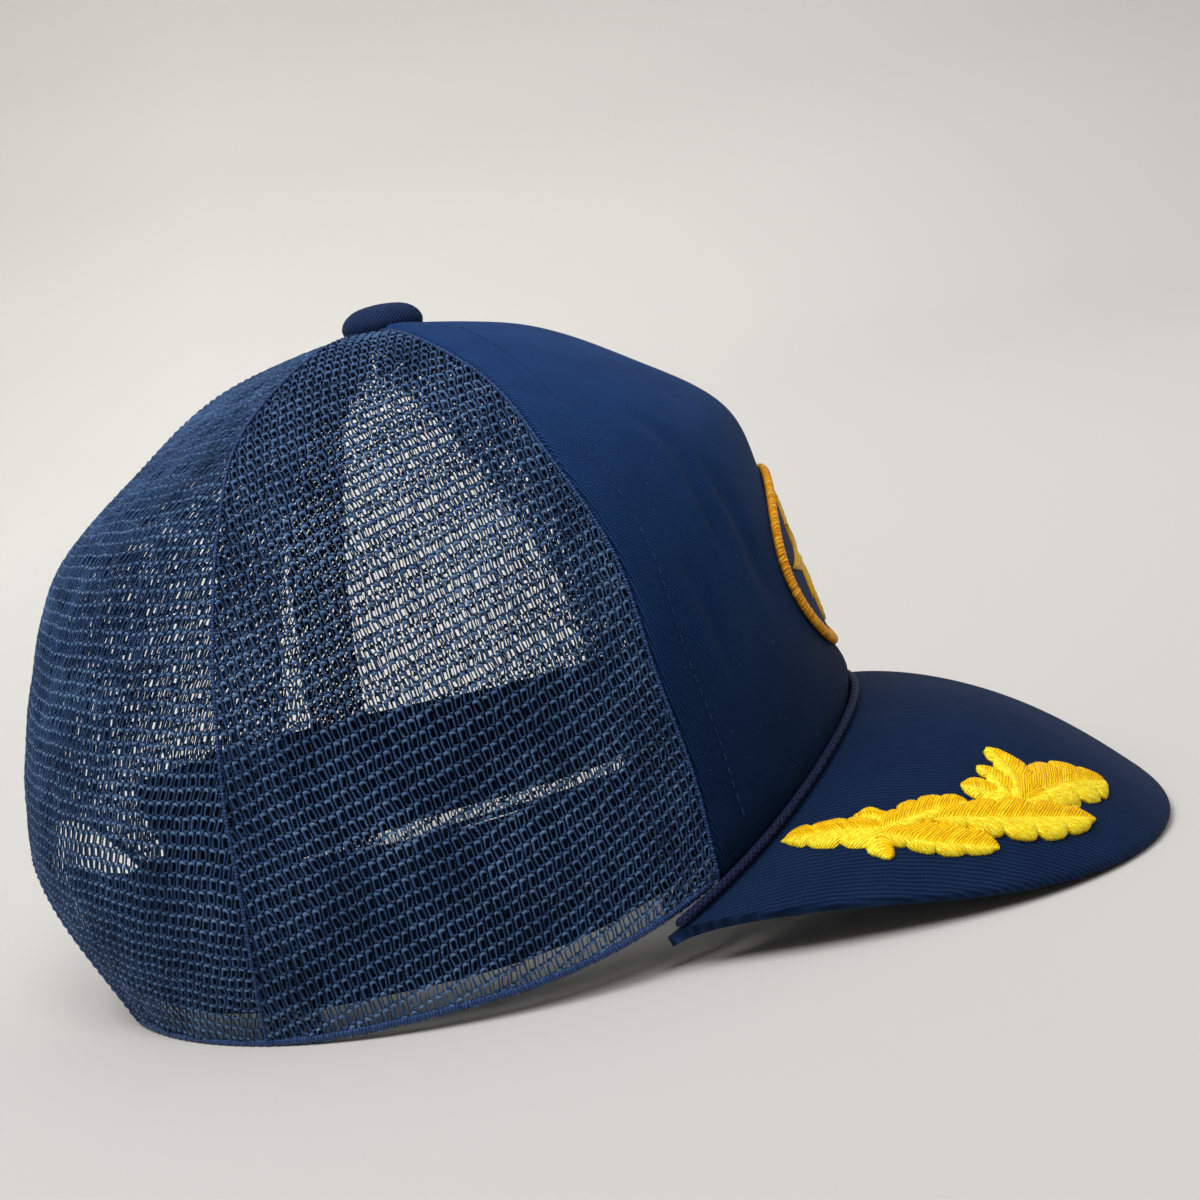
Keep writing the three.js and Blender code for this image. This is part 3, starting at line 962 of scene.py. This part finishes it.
def make_net():
    """Side and back panels of net, and the doubled net inside their seams."""
    panel_base, strip_base, top = -0.25, -1.1, 6.4
    side = net_piece("net_side", side_cloth, panel_base, RINGS, tilt=-16)
    back = net_piece("net_back", back_cloth, panel_base, BACK_RINGS, tilt=10, row=0.9, arch=True)
    both_sides(side, "net_side", net_yarn, "net", "side_mesh")
    both_sides(back, "net_back", net_yarn, "net", "back_mesh")

    def strip(name, laid):
        return net_piece(name, laid, strip_base, TIGHT_RINGS, tilt=20, row=0.8)

    def back_half(k):
        return np.minimum(degrees(5, k), 20)

    at_front = Laid(front_seam, lambda k: front_seam(k) + seam_width(k), high=top, columns=31)
    at_side = Laid(lambda k: side_seam(k) - seam_width(k), side_seam, high=top, columns=31)
    at_back = Laid(
        lambda k: 180 - back_half(k), lambda k: 180 + back_half(k),
        low=ARCH["top"] + 0.04, high=top, columns=21,
    )
    for name, laid in (("front", at_front), ("side", at_side)):
        turned_in = f"turned_in_{name}"
        both_sides(strip(turned_in, laid), turned_in, shaded_inner_yarn, "net", f"{name}_seam_strip")
    finished(strip("turned_in_back", at_back), shaded_inner_yarn, "net", "back_seam_strip")


def knobbly(name, angle, k, off, thick, pitch=2.3, rough=0.16, squash=1.0):
    """A sewn edge: a cord whose thickness follows the holes beside it."""
    spacing = 0.6
    angle, k = np.broadcast_arrays(np.asarray(angle, float), np.asarray(k, float))
    run = run_along(on_crown(angle, k, off))
    even = np.linspace(0, run[-1], int(run[-1] / (spacing * MM)))
    angle, k = np.interp(even, run, angle), np.interp(even, run, k)
    path = on_crown(angle, k, off)
    ends = taper(len(path))

    def radius(i, turn):
        place_along = even[i] / MM
        knob = np.sin(place_along * FULL_TURN / pitch) + 0.5 * np.sin(place_along * 3.9 + turn)
        return np.maximum(thick * (1 + rough * knob) * ends[i], THINNEST)

    return tube(name, path, crown_normal(angle, k), radius, squash=squash)


def make_edges():
    """The bound rim, the back opening's edge and the lines of the seams."""
    top = 6.75
    k = np.linspace(0, top, 90)
    opening = (180 - ARCH["half_angle"], 180 + ARCH["half_angle"])
    rim_angle = np.linspace(57, opening[0] + 0.5, 160)
    beside_front = front_seam(k) + degrees(0.4, k)
    edges = {
        "rim_binding": knobbly("rim", rim_angle, 0.035, -0.3, 0.85, squash=0.8),
        "front_seam_line": knobbly("front", beside_front, k, -0.1, 0.5, pitch=1.7, rough=0.3),
        "side_seam_line": knobbly("side", side_seam(k), k, 0.0, 0.42, pitch=1.9, rough=0.35),
    }
    for name, edge in edges.items():
        both_sides(edge, name, edge_yarn, "net")
    back_angle = np.linspace(*opening, 220)
    arch = knobbly("arch_binding", back_angle, arch_level(back_angle) + 0.02, -0.3, 0.85)
    finished(arch, edge_yarn, "net")
    k = np.linspace(ARCH["top"] + 0.05, top, 80)
    seam = knobbly("back_seam_line", 180, k, 0.0, 0.45, pitch=1.9, rough=0.35)
    finished(seam, edge_yarn, "net")


# The foam front

# Soft folds of the front panel: from one angle and level to another.
FOLDS = [
    {"from": (-46, 4.35), "to": (-33, 2.3), "deep": 1.3, "wide": 2.6},
    {"from": (-38, 3.9), "to": (-24, 1.5), "deep": 1.1, "wide": 3.0},
    {"from": (-47, 2.9), "to": (-40, 1.3), "deep": 0.8, "wide": 2.2},
    {"from": (44, 4.2), "to": (34, 2.2), "deep": 0.9, "wide": 3.0},
    {"from": (30, 2.0), "to": (20, 0.8), "deep": 0.6, "wide": 3.0},
]

# The topstitch's distance from the seam.
STITCH_LINE = 7.5
FRONT = {"edge": 1.8, "turned_in": 1.7, "foot": 0.32, "foot_wide": 0.3, "foot_high": 1.3}


def front_relief(w, v):
    """How far the foam front stands out, in millimetres."""
    k = front_cloth.level_at(v)
    half = front_cloth.half_at(v)
    x = w * half
    inside = half * (1 - np.abs(w))
    edge = np.clip(inside / FRONT["edge"], 0, 1)
    off = FOAM_OUT - FRONT["turned_in"] * (1 - np.sqrt(1 - (1 - edge) ** 2))
    off += FRONT["foot_high"] * bell(k, FRONT["foot"], FRONT["foot_wide"]) * smooth(0.0, 0.25, k)
    off -= 0.28 * bell(inside, STITCH_LINE, 0.55)
    off += 0.22 * bell(inside, 4.2, 2.4)
    off += 0.16 * np.sin(x * 0.11 + v * 0.05) * np.sin(v * 0.07 + 1.0)
    for fold in FOLDS:
        x0, y0 = front_cloth.flat(*fold["from"])
        x1, y1 = front_cloth.flat(*fold["to"])
        wide, length = fold["wide"], math.hypot(x1 - x0, y1 - y0)
        along = ((x - x0) * (x1 - x0) + (v - y0) * (y1 - y0)) / length
        beside = ((x - x0) * (y1 - y0) - (v - y0) * (x1 - x0)) / length
        beside = beside + 1.3 * np.sin(along * 0.16)
        reach = smooth(0, length * 0.35, along) * (1 - smooth(length * 0.65, length, along))
        valley = bell(beside, 0, wide) - 0.55 * bell(beside, 1.9 * wide, wide)
        off -= fold["deep"] * valley * reach
    return off


def make_front():
    """The foam panel, with closer columns beside its two seams."""
    panel, across, up, inner = flat_sheet("foam_front", 150, 110, thick=True)
    bend = across * 2 - 1
    w = np.sin(bend * math.pi / 2) * 0.35 + bend * 0.65
    v = up * front_cloth.v[-1]
    off = np.where(inner, FOAM_IN, front_relief(w, v))
    shaped(panel, w * front_cloth.half_at(v), v, front_cloth.at(w, v, off))
    finished(panel, navy_knit, "foam_knit", "front_panel", padded=0.6)


def make_stitches():
    """The front's topstitch: short threads that dip in at their ends."""
    step, long, thick, thin, points = 3.0, 2.3, 0.17, 0.0005, 7
    k = np.linspace(0.35, 6.1, 400)
    stitches = []
    for sign in (-1, 1):
        angle = sign * (front_seam(k) - degrees(STITCH_LINE, k))
        run = run_along(crown_point(angle, k)) / MM
        for start in np.arange(1.0, run[-1] - step, step):
            spots = np.linspace(start, start + long, points)
            a, kk = np.interp(spots, run, angle), np.interp(spots, run, k)
            height = front_cloth.height_of(kk)
            across = np.array([front_cloth.flat(*spot)[0] for spot in zip(a, kk)])
            off = front_relief(across / front_cloth.half_at(height), height)
            off = off - 0.05 + 0.16 * np.sin(np.linspace(0, math.pi, points))
            radius = thick * np.maximum(taper(points, 2), thin)
            stitches.append(tube("stitch", on_crown(a, kk, off), crown_normal(a, kk), radius, sides=5))
    row = join(stitches, "front_topstitch")
    finished(row, stitch_yarn, "foam_knit")


# The button's outline above and below its widest line, as radius and height.
BUTTON_TOP = [
    (9.4, 0.2), (9.6, 0.9), (9.5, 1.7), (9.15, 2.5), (8.6, 3.3), (7.7, 4.1),
    (6.5, 4.8), (5.0, 5.3), (3.2, 5.6), (1.4, 5.75), (0.0, 5.8),
]
BUTTON_UNDER = [(9.4, 0.2), (9.2, -0.8), (8.6, -1.9), (7.2, -2.6), (3.6, -2.8), (0.0, -2.8)]


def make_button():
    """The covered button: a domed disc turned from a profile."""
    low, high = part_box("top_button")
    mid = np.array([(low.x + high.x) / 2, (low.y + high.y) / 2, high.z])
    mid = mid - np.array([0, BUTTON["forward"], BUTTON["down"] + BUTTON["high"]]) * MM
    halves = []
    for n, line in enumerate((BUTTON_TOP, BUTTON_UNDER)):
        sheet, around, down, _ = flat_sheet(f"button_{n}", 64, 28)
        run = run_along(np.array(line))
        s = down * run[-1]
        radius, height = (np.interp(s, run, side) for side in zip(*line))
        turn = around * FULL_TURN
        lump = 0.10 * np.sin(turn * 3 + 1) * smooth(0, 6, s) * radius / BUTTON["radius"]
        x, y = radius * np.cos(turn), radius * np.sin(turn)
        write_map(sheet, np.stack([y + height * 0.8, x], -1))
        set_points(sheet, np.stack([x, y, height + lump], -1) * MM + mid)
        halves.append(sheet)
    button = join(halves, "covered_button")
    weld(button, JOINED)
    edited(button, FACE_OUT)
    finished(button, button_knit, "foam_knit", "top_button", padded=0.9)


# The peak

# A curved crease of the cloth ahead of each spray.
CREASE = {"forward": 92, "side": 49, "radius": 9.5, "wide": 0.8, "deep": 0.22}
ROPE = {"radius": 0.95, "lay": 0.1, "height": 1.4, "from_front": 0.7}


def make_peak():
    """The peak's cloth goes over its top, round its edge, back below and up its root."""
    rows = 96
    top, turned = 0.56, 0.68
    cover, across, t, _ = flat_sheet("peak_cover", 230, rows)
    u = 1 - 2 * across
    u = np.sign(u) * (1 - (1 - np.abs(u)) ** 1.15)
    root = np.stack(peak_plan(u, 0 * u), -1)
    edge = np.stack(peak_plan(u, 0 * u + 1), -1)
    reach = np.linalg.norm(edge - root, axis=1)
    outward = (edge - root) / np.maximum(reach, 1e-6)[:, None]
    thick, roll, shortest = PEAK["thick"], PEAK["thick"] / 2, 3.0
    flat = np.maximum(reach, shortest) - roll
    phi = np.clip((t - top) / (turned - top), 0, 1) * math.pi
    groove, groove_at, groove_wide = 0.22, 1.95, 0.13
    bend = roll - groove * bell(phi, groove_at, groove_wide)
    back = np.clip((t - turned) / (1 - turned - 1 / rows), 0, 1)
    at_root = t > 1 - 0.5 / rows
    d = np.where(t > top, flat + bend * np.sin(phi), np.clip(t / top, 0, 1) * flat)
    d = np.where(t > turned, (1 - back) * flat, d)
    off = np.where(t > top, bend * np.cos(phi) - roll, 0.0)
    off = np.where(t > turned, -thick, off)
    off = np.where(at_root, 0.0, off)
    f, l = (root + outward * d[:, None]).T
    ridge = np.hypot(f - CREASE["forward"], np.abs(l) - CREASE["side"])
    crease = CREASE["deep"] * bell(ridge, CREASE["radius"], CREASE["wide"]) * smooth(96, 99, f)
    soft = 0.10 * np.sin(f * 0.13 + 0.6) * np.sin(l * 0.09)
    off = off + ((t <= top) | at_root) * (soft - crease)
    shaped(cover, l, f, on_peak(f, l, off), welded=CLOSE)
    edited(cover, (bpy.ops.mesh.fill_holes, {"sides": 0}), FACE_OUT)
    outwards(cover)
    finished(cover, peak_knit, "peak_cloth", "peak")


def make_rope():
    """The braided rope in the corner between the front and the peak."""
    angle = PEAK["rope_angle"] * (2 * np.linspace(0, 1, 420) - 1)
    f, l = root_plan(angle, FOAM_OUT + GAP + ROPE["from_front"])
    path = on_peak(f, l, ROPE["height"])
    out = unit(on_peak(f, l, ROPE["height"] + 1) - path)
    run = run_along(path) / MM
    ends = taper(len(path))

    def radius(i, turn):
        lay = np.maximum(np.sin(run[i] * 2.2 + turn * 2), np.sin(run[i] * 2.2 - turn * 2))
        return np.maximum((ROPE["radius"] + ROPE["lay"] * lay) * ends[i], THINNEST)

    rope = tube("braided_rope", path, out, radius, sides=12)
    finished(rope, rope_braid, "rope_braid", "peak_rope")


# The gold work

# The leaves of a spray, seen from above. line is the midrib from base to tip
# as places forward and sideways; left and right are how far the leaf reaches
# to each side of it, walking to the tip, at five even stations. high is the
# padding under the stitches, lift the height at which the leaf starts where it
# lies over others, slant the way its stitches run to the midrib and lobes the
# number of rounded lobes on each side.
LEAF = ("name", "line", "left", "right", "high", "lift", "slant", "lobes")
LEAVES = [
    ("bed behind", ((47, 66), (61, 65.5), (76, 63)),
     (2, 3, 3.5, 3.5, 2), (2, 2.5, 3, 4, 3), 0.35, 0, 0.6, 3),
    ("bed ahead", ((72, 60), (84, 55), (96, 47.5)),
     (2.5, 4, 4.5, 4.5, 2), (3, 5, 6, 5, 2), 0.35, 0, 0.6, 3),
    ("root leaf", ((50, 65.5), (38, 64.5), (28.5, 64)),
     (1.5, 3, 2.5, 2.5, 0.5), (4, 4.5, 4, 3, 0.5), 1, 0.1, 1.3, 3),
    ("upper bud", ((53, 64), (48.5, 62.5), (44.5, 62.5)),
     (1.5, 1.5, 2, 1.5, 0.5), (1.5, 1.5, 1.5, 1, 0.5), 0.9, 0.3, 0.5, 1),
    ("lower bud", ((48.5, 66), (48.5, 70), (49.5, 72.5)),
     (1.5, 2.5, 3, 2.5, 1), (1.5, 2.5, 2.5, 2, 1), 0.9, 0.25, 0.5, 1),
    ("upper leaf", ((49, 66), (59, 62.5), (69.5, 59)),
     (1.5, 2.5, 2.5, 2.5, 1.5), (1.5, 3, 3.5, 3, 1.5), 1, 0.35, 1.3, 4),
    ("lower leaf", ((49, 67), (60.5, 69), (73, 68.5)),
     (2, 2.5, 2.5, 2, 1), (1.5, 3, 4.5, 4, 2), 1, 0.4, 1.3, 4),
    ("third lobe", ((80, 57), (74.5, 55), (69.5, 54.5)),
     (3, 3.5, 3, 2.5, 1), (3.5, 3.5, 3.5, 3, 1.5), 0.9, 0.15, 0.8, 2),
    ("second lobe", ((80, 56), (77.5, 51), (74.5, 48.5)),
     (3, 3.5, 3, 2, 1), (3, 3, 2.5, 2, 0.5), 0.9, 0.3, 0.8, 2),
    ("top leaf", ((82, 57), (82.5, 49), (78.5, 41.5)),
     (5, 6.5, 5.5, 4.5, 1.5), (4, 3, 3.5, 3, 1), 1, 0.35, 1.0, 3),
    ("fore leaf", ((81, 57), (93.5, 46.5), (103.5, 39.5)),
     (2, 4, 5, 4.5, 1), (3.5, 5.5, 6, 5, 1.5), 1, 0.45, 1.1, 4),
    ("long leaf", ((61, 64), (79, 61), (96.5, 55)),
     (1.5, 3.5, 4.5, 4, 1.5), (2, 3.5, 4.5, 3.5, 1), 1, 0.7, 1.3, 5),
]


def satin_leaf(name, line, left, right, high, lift, slant, lobes):
    """A lobed leaf of satin stitch whose two halves slant to its midrib."""
    line = np.array(line, float)
    length = run_along(line)[-1]
    sheet, t, across, below = flat_sheet(name, int(length / SATIN * 3.5), 10, thick=True)
    s = across * 2 - 1
    mid = np.stack([curve(line[:, 0], t * 2), curve(line[:, 1], t * 2)], -1)
    step = unit(line[-1] - line[0])
    left_hand = np.array([-step[1], step[0]])
    width = np.maximum(np.where(s > 0, curve(left, t * 4), curve(right, t * 4)), 0.2)
    lobe = np.abs(np.sin(math.pi * (lobes * t + 0.15 * np.sign(s))))
    width = width * (1.04 - 0.3 * (1 - lobe) ** 2.5)
    width = width * np.clip(np.minimum(t, 1 - t) / 0.08, 0.05, 1) ** 0.5
    stitch = t * length - np.abs(s) * width * slant
    saw = np.abs(np.mod(stitch / SATIN, 1) - 0.5) * 2
    fringe = 1 + 0.22 * (saw - 0.5) * (np.abs(s) > 0.99) / np.maximum(width, 0.6)
    f, l = (mid + left_hand * (s * width * fringe)[:, None]).T
    full = np.clip(width / 2.2, 0, 1) ** 0.6
    dome = np.sqrt(np.maximum(1 - (2 * np.abs(s) - 0.9) ** 2, 0)) * full * high
    dome = dome - 0.3 * bell(s * width, 0, 0.35) * full
    uneven = 0.5 + 0.5 * np.sin(stitch * 1.7 + 2 * np.sin(stitch * 0.6 + s))
    dome = dome + 0.1 * uneven * np.sin(stitch * FULL_TURN / SATIN) * (np.abs(s) < 0.97)
    off = np.where(below, 0.05, 0.12 + lift + np.maximum(dome, 0.0))
    # The inner half is marked for the painted shade of the gold's finish.
    write_value(sheet, "shaded", smooth(-0.12, 0.12, -np.sign(left_hand[1]) * s))
    shaped(sheet, stitch, s * width, on_peak(f, l, off))
    return sheet


def make_sprays():
    spray = join([satin_leaf(**dict(zip(LEAF, leaf))) for leaf in LEAVES], "gold_spray")
    both_sides(spray, "gold_spray", gold_thread, "gold_thread", "leaf_spray")


PATCH_FACE = FOAM_OUT + PATCH["over_foam"]


def on_front(across, rise, off):
    """A point of the badge: sideways and up from its middle."""
    low, high = np.full(np.shape(across), 0.2), np.full(np.shape(across), 5.0)
    zero = crown_point(0.0, 0.0)[2] - LEVELS["front_height"][0] * MM

    def angle(k):
        return np.degrees(np.arcsin(np.clip(across / level("half", k), -0.95, 0.95)))

    for _ in range(26):
        k = (low + high) / 2
        below = crown_point(angle(k), k)[..., 2] - zero < (PATCH["height"] + rise) * MM
        low, high = np.where(below, k, low), np.where(below, high, k)
    return on_crown(angle(low), low, off)


def make_patch_ground():
    """The badge's oval of twill, with a rounded edge."""
    thick, edge = 0.75, 12
    sheet, around, down, _ = flat_sheet("patch_ground_twill", 120, 48)
    turn, over = around * FULL_TURN, 1 - 2 * down
    reach = (1 - np.abs(over)) * (1 - PATCH["border_radius"] / PATCH["half_width"])
    x, z = reach * np.cos(turn) * PATCH["half_width"], reach * np.sin(turn) * PATCH["half_height"]
    off = PATCH_FACE + np.clip(thick / 2 + over * edge, 0, thick)
    off = off + 0.05 * np.sin(x * 0.3) * np.sin(z * 0.4) * (over > 0)
    shaped(sheet, x, z, on_front(x, z, off), welded=JOINED)
    finished(sheet, patch_twill, "patch_twill", "patch_ground")


def make_patch_border():
    """The thread wrapped round the badge's edge."""
    stitches, stitch_wide, lift = 236, 0.62, 0.85
    cord = PATCH["border_radius"]
    sheet, around, about, _ = flat_sheet("patch_border_wrap", 980, 12)
    turn, about = around * FULL_TURN, about * FULL_TURN
    wrap = around * stitches + 0.7 * np.sin(about)
    chance = 0.05 * np.sin(turn * 79) * np.sin(turn * 10)
    thick = 1 + 0.12 * (np.abs(np.sin(wrap * math.pi)) - 0.5) + chance
    swing = cord * np.cos(about) * thick - cord
    x, z = np.cos(turn) * (PATCH["half_width"] + swing), np.sin(turn) * (PATCH["half_height"] + swing)
    place_on = on_front(x, z, PATCH_FACE + lift + np.sin(about) * thick)
    shaped(sheet, wrap * stitch_wide, np.cos(about), place_on, welded=JOINED)
    finished(sheet, border_thread, "border_thread", "patch_border")


def make_star():
    """The badge's star: four long rays and four shorter ones between them."""
    lift, count, long, short = 0.7, 8, 0.76, 0.58
    rays = []
    for n in range(count):
        turn = FULL_TURN * n / count + math.pi / 2
        size = short if n % 2 else long
        tip = np.array([math.cos(turn) * PATCH["half_width"], math.sin(turn) * PATCH["half_height"]]) * size
        rays.append(satin_ray(f"ray_{n}", tip, PATCH_FACE + lift))
    finished(join(rays, "gold_star"), star_thread, "gold_thread", "patch_motif")


def satin_ray(name, tip, base):
    """One pointed ray of the star, stitched across from a sharp ridge."""
    wide, high, edge, widest = 3.3, 0.95, 0.25, 0.3
    sheet, t, across, below = flat_sheet(name, 50, 10, thick=True)
    s = across * 2 - 1
    length = np.linalg.norm(tip)
    along = tip / length
    aside = np.array([-along[1], along[0]])
    spread = np.where(t < widest, 0.25 + 0.75 * t / widest, (1 - t) / (1 - widest))
    width = np.maximum(wide * spread, 0.08)
    x, z = along[:, None] * (t * length) + aside[:, None] * (s * width)
    stitch = t * length - np.abs(s) * 1.2
    ridge = 0.06 * np.sin(stitch * FULL_TURN / STAR_SATIN) * (np.abs(s) < 0.95)
    dome = high * (1 - np.abs(s)) ** 0.7 + ridge
    dome = dome * (0.3 + 0.7 * np.sin(math.pi * t) ** 0.5)
    off = np.where(below, base, base + edge + np.maximum(dome, 0))
    shaped(sheet, stitch, s * width, on_front(x, z, off))
    return sheet


# Inside and back

BAND = {"end": 150, "low": 0.22, "top": 1.4, "wide": 32, "out": -2.85, "in": -3.55}
STRAP = {"low": 0.12, "high": 0.62, "thick": 1.0, "tip": 6, "stud_step": 5.2, "stud_off": -4.9}
STUD = {"vertices": 20, "radius": 0.0017, "depth": 0.0024}
STRAP_ENDS = (
    {"name": "plain", "start": 144, "end": 196, "tip": 196, "base": -5.2},
    {"name": "studded", "start": 164, "end": 216, "tip": 164, "base": -6.3},
)
# The pattern's millimetres for a radian round the crown, and for a level up it.
ROUND, UP_PER_LEVEL = 95, 25


def make_band():
    """The sweatband: twill folded over at both edges."""
    band, across, up, inner = flat_sheet("sweatband_twill", 240, 22, thick=True)
    angle = (across * 2 - 1) * BAND["end"]
    k = BAND["low"] + (BAND["top"] - BAND["low"]) * up
    near = np.minimum(up, 1 - up) * BAND["wide"]
    hem = 0.35 * bell(near, 2.2, 2.0)
    line = 0.22 * bell(near, 3.6, 0.5)
    wave = 0.18 * np.sin(np.radians(angle) * 17) * (1 - up)
    off = np.where(inner, BAND["in"] - hem + line, BAND["out"] + hem * 0.4 - line) - wave
    shaped(band, np.radians(angle) * ROUND, k * UP_PER_LEVEL, on_crown(angle, k, off))
    finished(band, band_twill, "band_twill", "sweatband", angle=60)


def strap_half(name, start, end, tip, base):
    """One strap: flat, with a round tip and thinner along its edges."""
    sheet, across, up, inner = flat_sheet(f"strap_{name}", 180, 12, thick=True)
    angle = start + (end - start) * across
    y = up * 2 - 1
    rim = 1 - np.clip((np.abs(y) - 0.82) / 0.18, 0, 1) ** 2 * 0.35
    away = np.clip(np.abs(angle - tip) * 1.5 / STRAP["tip"], 0, 1)
    y = y * np.maximum(np.sqrt(away * (2 - away)), 0.05)
    k = (STRAP["low"] + STRAP["high"]) / 2 + (STRAP["high"] - STRAP["low"]) / 2 * y
    off = base - inner * rim * STRAP["thick"]
    shaped(sheet, np.radians(angle) * ROUND, k * UP_PER_LEVEL, on_crown(angle, k, off))
    return sheet


def strap_stud(angle):
    """A round stud of the strap, pressed through at an angle of the crown."""
    rest_all()
    bpy.ops.mesh.primitive_cylinder_add(end_fill_type="NGON", **STUD)
    stud = bpy.context.object
    apply(stud, "BEVEL", width=0.0007, segments=3, limit_method="ANGLE")
    k = (STRAP["low"] + STRAP["high"]) / 2
    out = crown_normal(angle, k)
    side = unit(np.cross([0, 0, 1.0], out))
    co = points_of(stud)
    middle = on_crown(angle, k, STRAP["stud_off"])
    set_points(stud, middle + co @ np.array([side, np.cross(out, side), out]))
    write_map(stud, co[:, :2] / MM)
    return stud


def make_strap():
    """Two plastic straps of the back opening, one over the other, and their studs."""
    straps = [strap_half(**strap) for strap in STRAP_ENDS]
    studs = [strap_stud(180 + n * STRAP["stud_step"]) for n in range(-3, 4)]
    strap = join(straps + studs, "snap_strap")
    finished(strap, strap_plastic, "strap_plastic", "back_strap", angle=50)


# Floor, light and camera


FLOOR = ((0.0, (207, 205, 201)), (0.3, (207, 205, 201)), (0.9, (218, 216, 212)))
# The colour of the floor's painted shade.
SHADE = (140, 138, 136)
AIR = 0.15
# The floor's outline in metres: how far out, and how high.
FLOOR_LINE = [
    (0, 0), (2.2, 0), (2.7, 0.03), (3.1, 0.14), (3.45, 0.36), (3.7, 0.7), (3.87, 1.2), (3.95, 2.0),
    (3.95, 4.0),
]
LAMPS = {
    "back_softbox": {"from": (-0.68, 1.0, 2.0), "power": 2.8, "soft": 38, "tint": (1.0, 0.995, 0.985)},
    "top_panel": {"from": (0.3, -0.1, 2.0), "power": 0.6, "soft": 60, "tint": (0.98, 0.99, 1.0)},
    "near_fill": {"from": (-1.1, -0.4, 1.5), "power": 0.9, "soft": 20, "tint": (1.0, 0.99, 0.98)},
}
CAMERA = {
    "elevation": 8.0, "lean": 11.6, "distance": 520.0, "aim": (1.2, 0.0, 70.5),
    "focal_pixels": 2184, "frame_pixels": 1200, "sensor": 36,
}


def held(name, data, side, up, back, spot):
    """A lamp or camera at a spot, looking away from back."""
    holder = bpy.data.objects.new(name, data)
    bpy.context.scene.collection.objects.link(holder)
    axes = np.stack([side, up, back, spot], -1)
    holder.matrix_world = Matrix((*axes.tolist(), (0, 0, 0, 1)))
    return holder


def make_floor():
    """A pale floor that curves up far away, darker towards −y with painted shade."""
    floor, around, out, _ = flat_sheet("pale_floor", 64, 48)
    run = run_along(np.array(FLOOR_LINE))
    r, z = (np.interp(out * run[-1], run, side) for side in zip(*FLOOR_LINE))
    turn = around * FULL_TURN
    set_points(floor, np.stack([r * np.cos(turn), r * np.sin(turn), z], -1))
    weld(floor, 1e-4)
    pick(floor)
    bpy.ops.object.shade_smooth()
    f = Finish("pale_floor_paint", rough=0.9, shine=0.1)
    where = f.place()
    _, y, height = f.split(where)
    tone = (height * 0.5).clamped() + (f.noise(where, 3.0, 3) - 0.5) * 0.1
    # Painted shade: the floor and its far wall are darkened towards −y.
    ahead = (0.3 - y * 0.55).clamped()
    floor.data.materials.clear()
    floor.data.materials.append(f.done(f.mix(ahead * 0.7, f.ramp(tone, *FLOOR), SHADE)))


def make_light():
    """Soft light from above, and a little from all round."""
    world = bpy.data.worlds.new("studio_air")
    bpy.context.scene.world = world
    world.use_nodes = True
    air = world.node_tree.nodes["Background"]
    air.inputs["Color"].default_value = (0.94, 0.97, 1.0, 1.0)
    air.inputs["Strength"].default_value = AIR
    for name, lamp in LAMPS.items():
        light = bpy.data.lights.new(name, "SUN")
        light.energy = lamp["power"]
        light.angle = math.radians(lamp["soft"])
        light.color = lamp["tint"]
        spot = np.array(lamp["from"], float)
        back = unit(spot)
        side = unit(np.cross([0.001, 0, 1.0], back))
        held(name, light, side, np.cross(back, side), back, spot)


def make_camera():
    """The photograph's view: from the wearer's right, a little above, leaning."""
    elevation, lean = math.radians(CAMERA["elevation"]), math.radians(CAMERA["lean"])
    look = raw_place(0, math.cos(elevation), -math.sin(elevation))
    right = raw_place(1, 0, 0)
    up = raw_place(0, math.sin(elevation), math.cos(elevation))
    across = right * math.cos(lean) - up * math.sin(lean)
    over = right * math.sin(lean) + up * math.cos(lean)
    camera = bpy.data.cameras.new("photo_camera")
    camera.sensor_width = CAMERA["sensor"]
    camera.lens = CAMERA["focal_pixels"] / CAMERA["frame_pixels"] * CAMERA["sensor"]
    camera.clip_start = 0.01
    spot = place(*CAMERA["aim"]) - look * CAMERA["distance"] * MM
    bpy.context.scene.camera = held("photo_camera", camera, across, over, -look, spot)


make_camera()
make_floor()
make_light()
make_front()
make_button()
make_peak()
make_rope()
make_sprays()
make_patch_ground()
make_patch_border()
make_star()
make_net()
make_edges()
make_band()
make_strap()
make_stitches()

bpy.context.scene.view_settings.view_transform = "Standard"
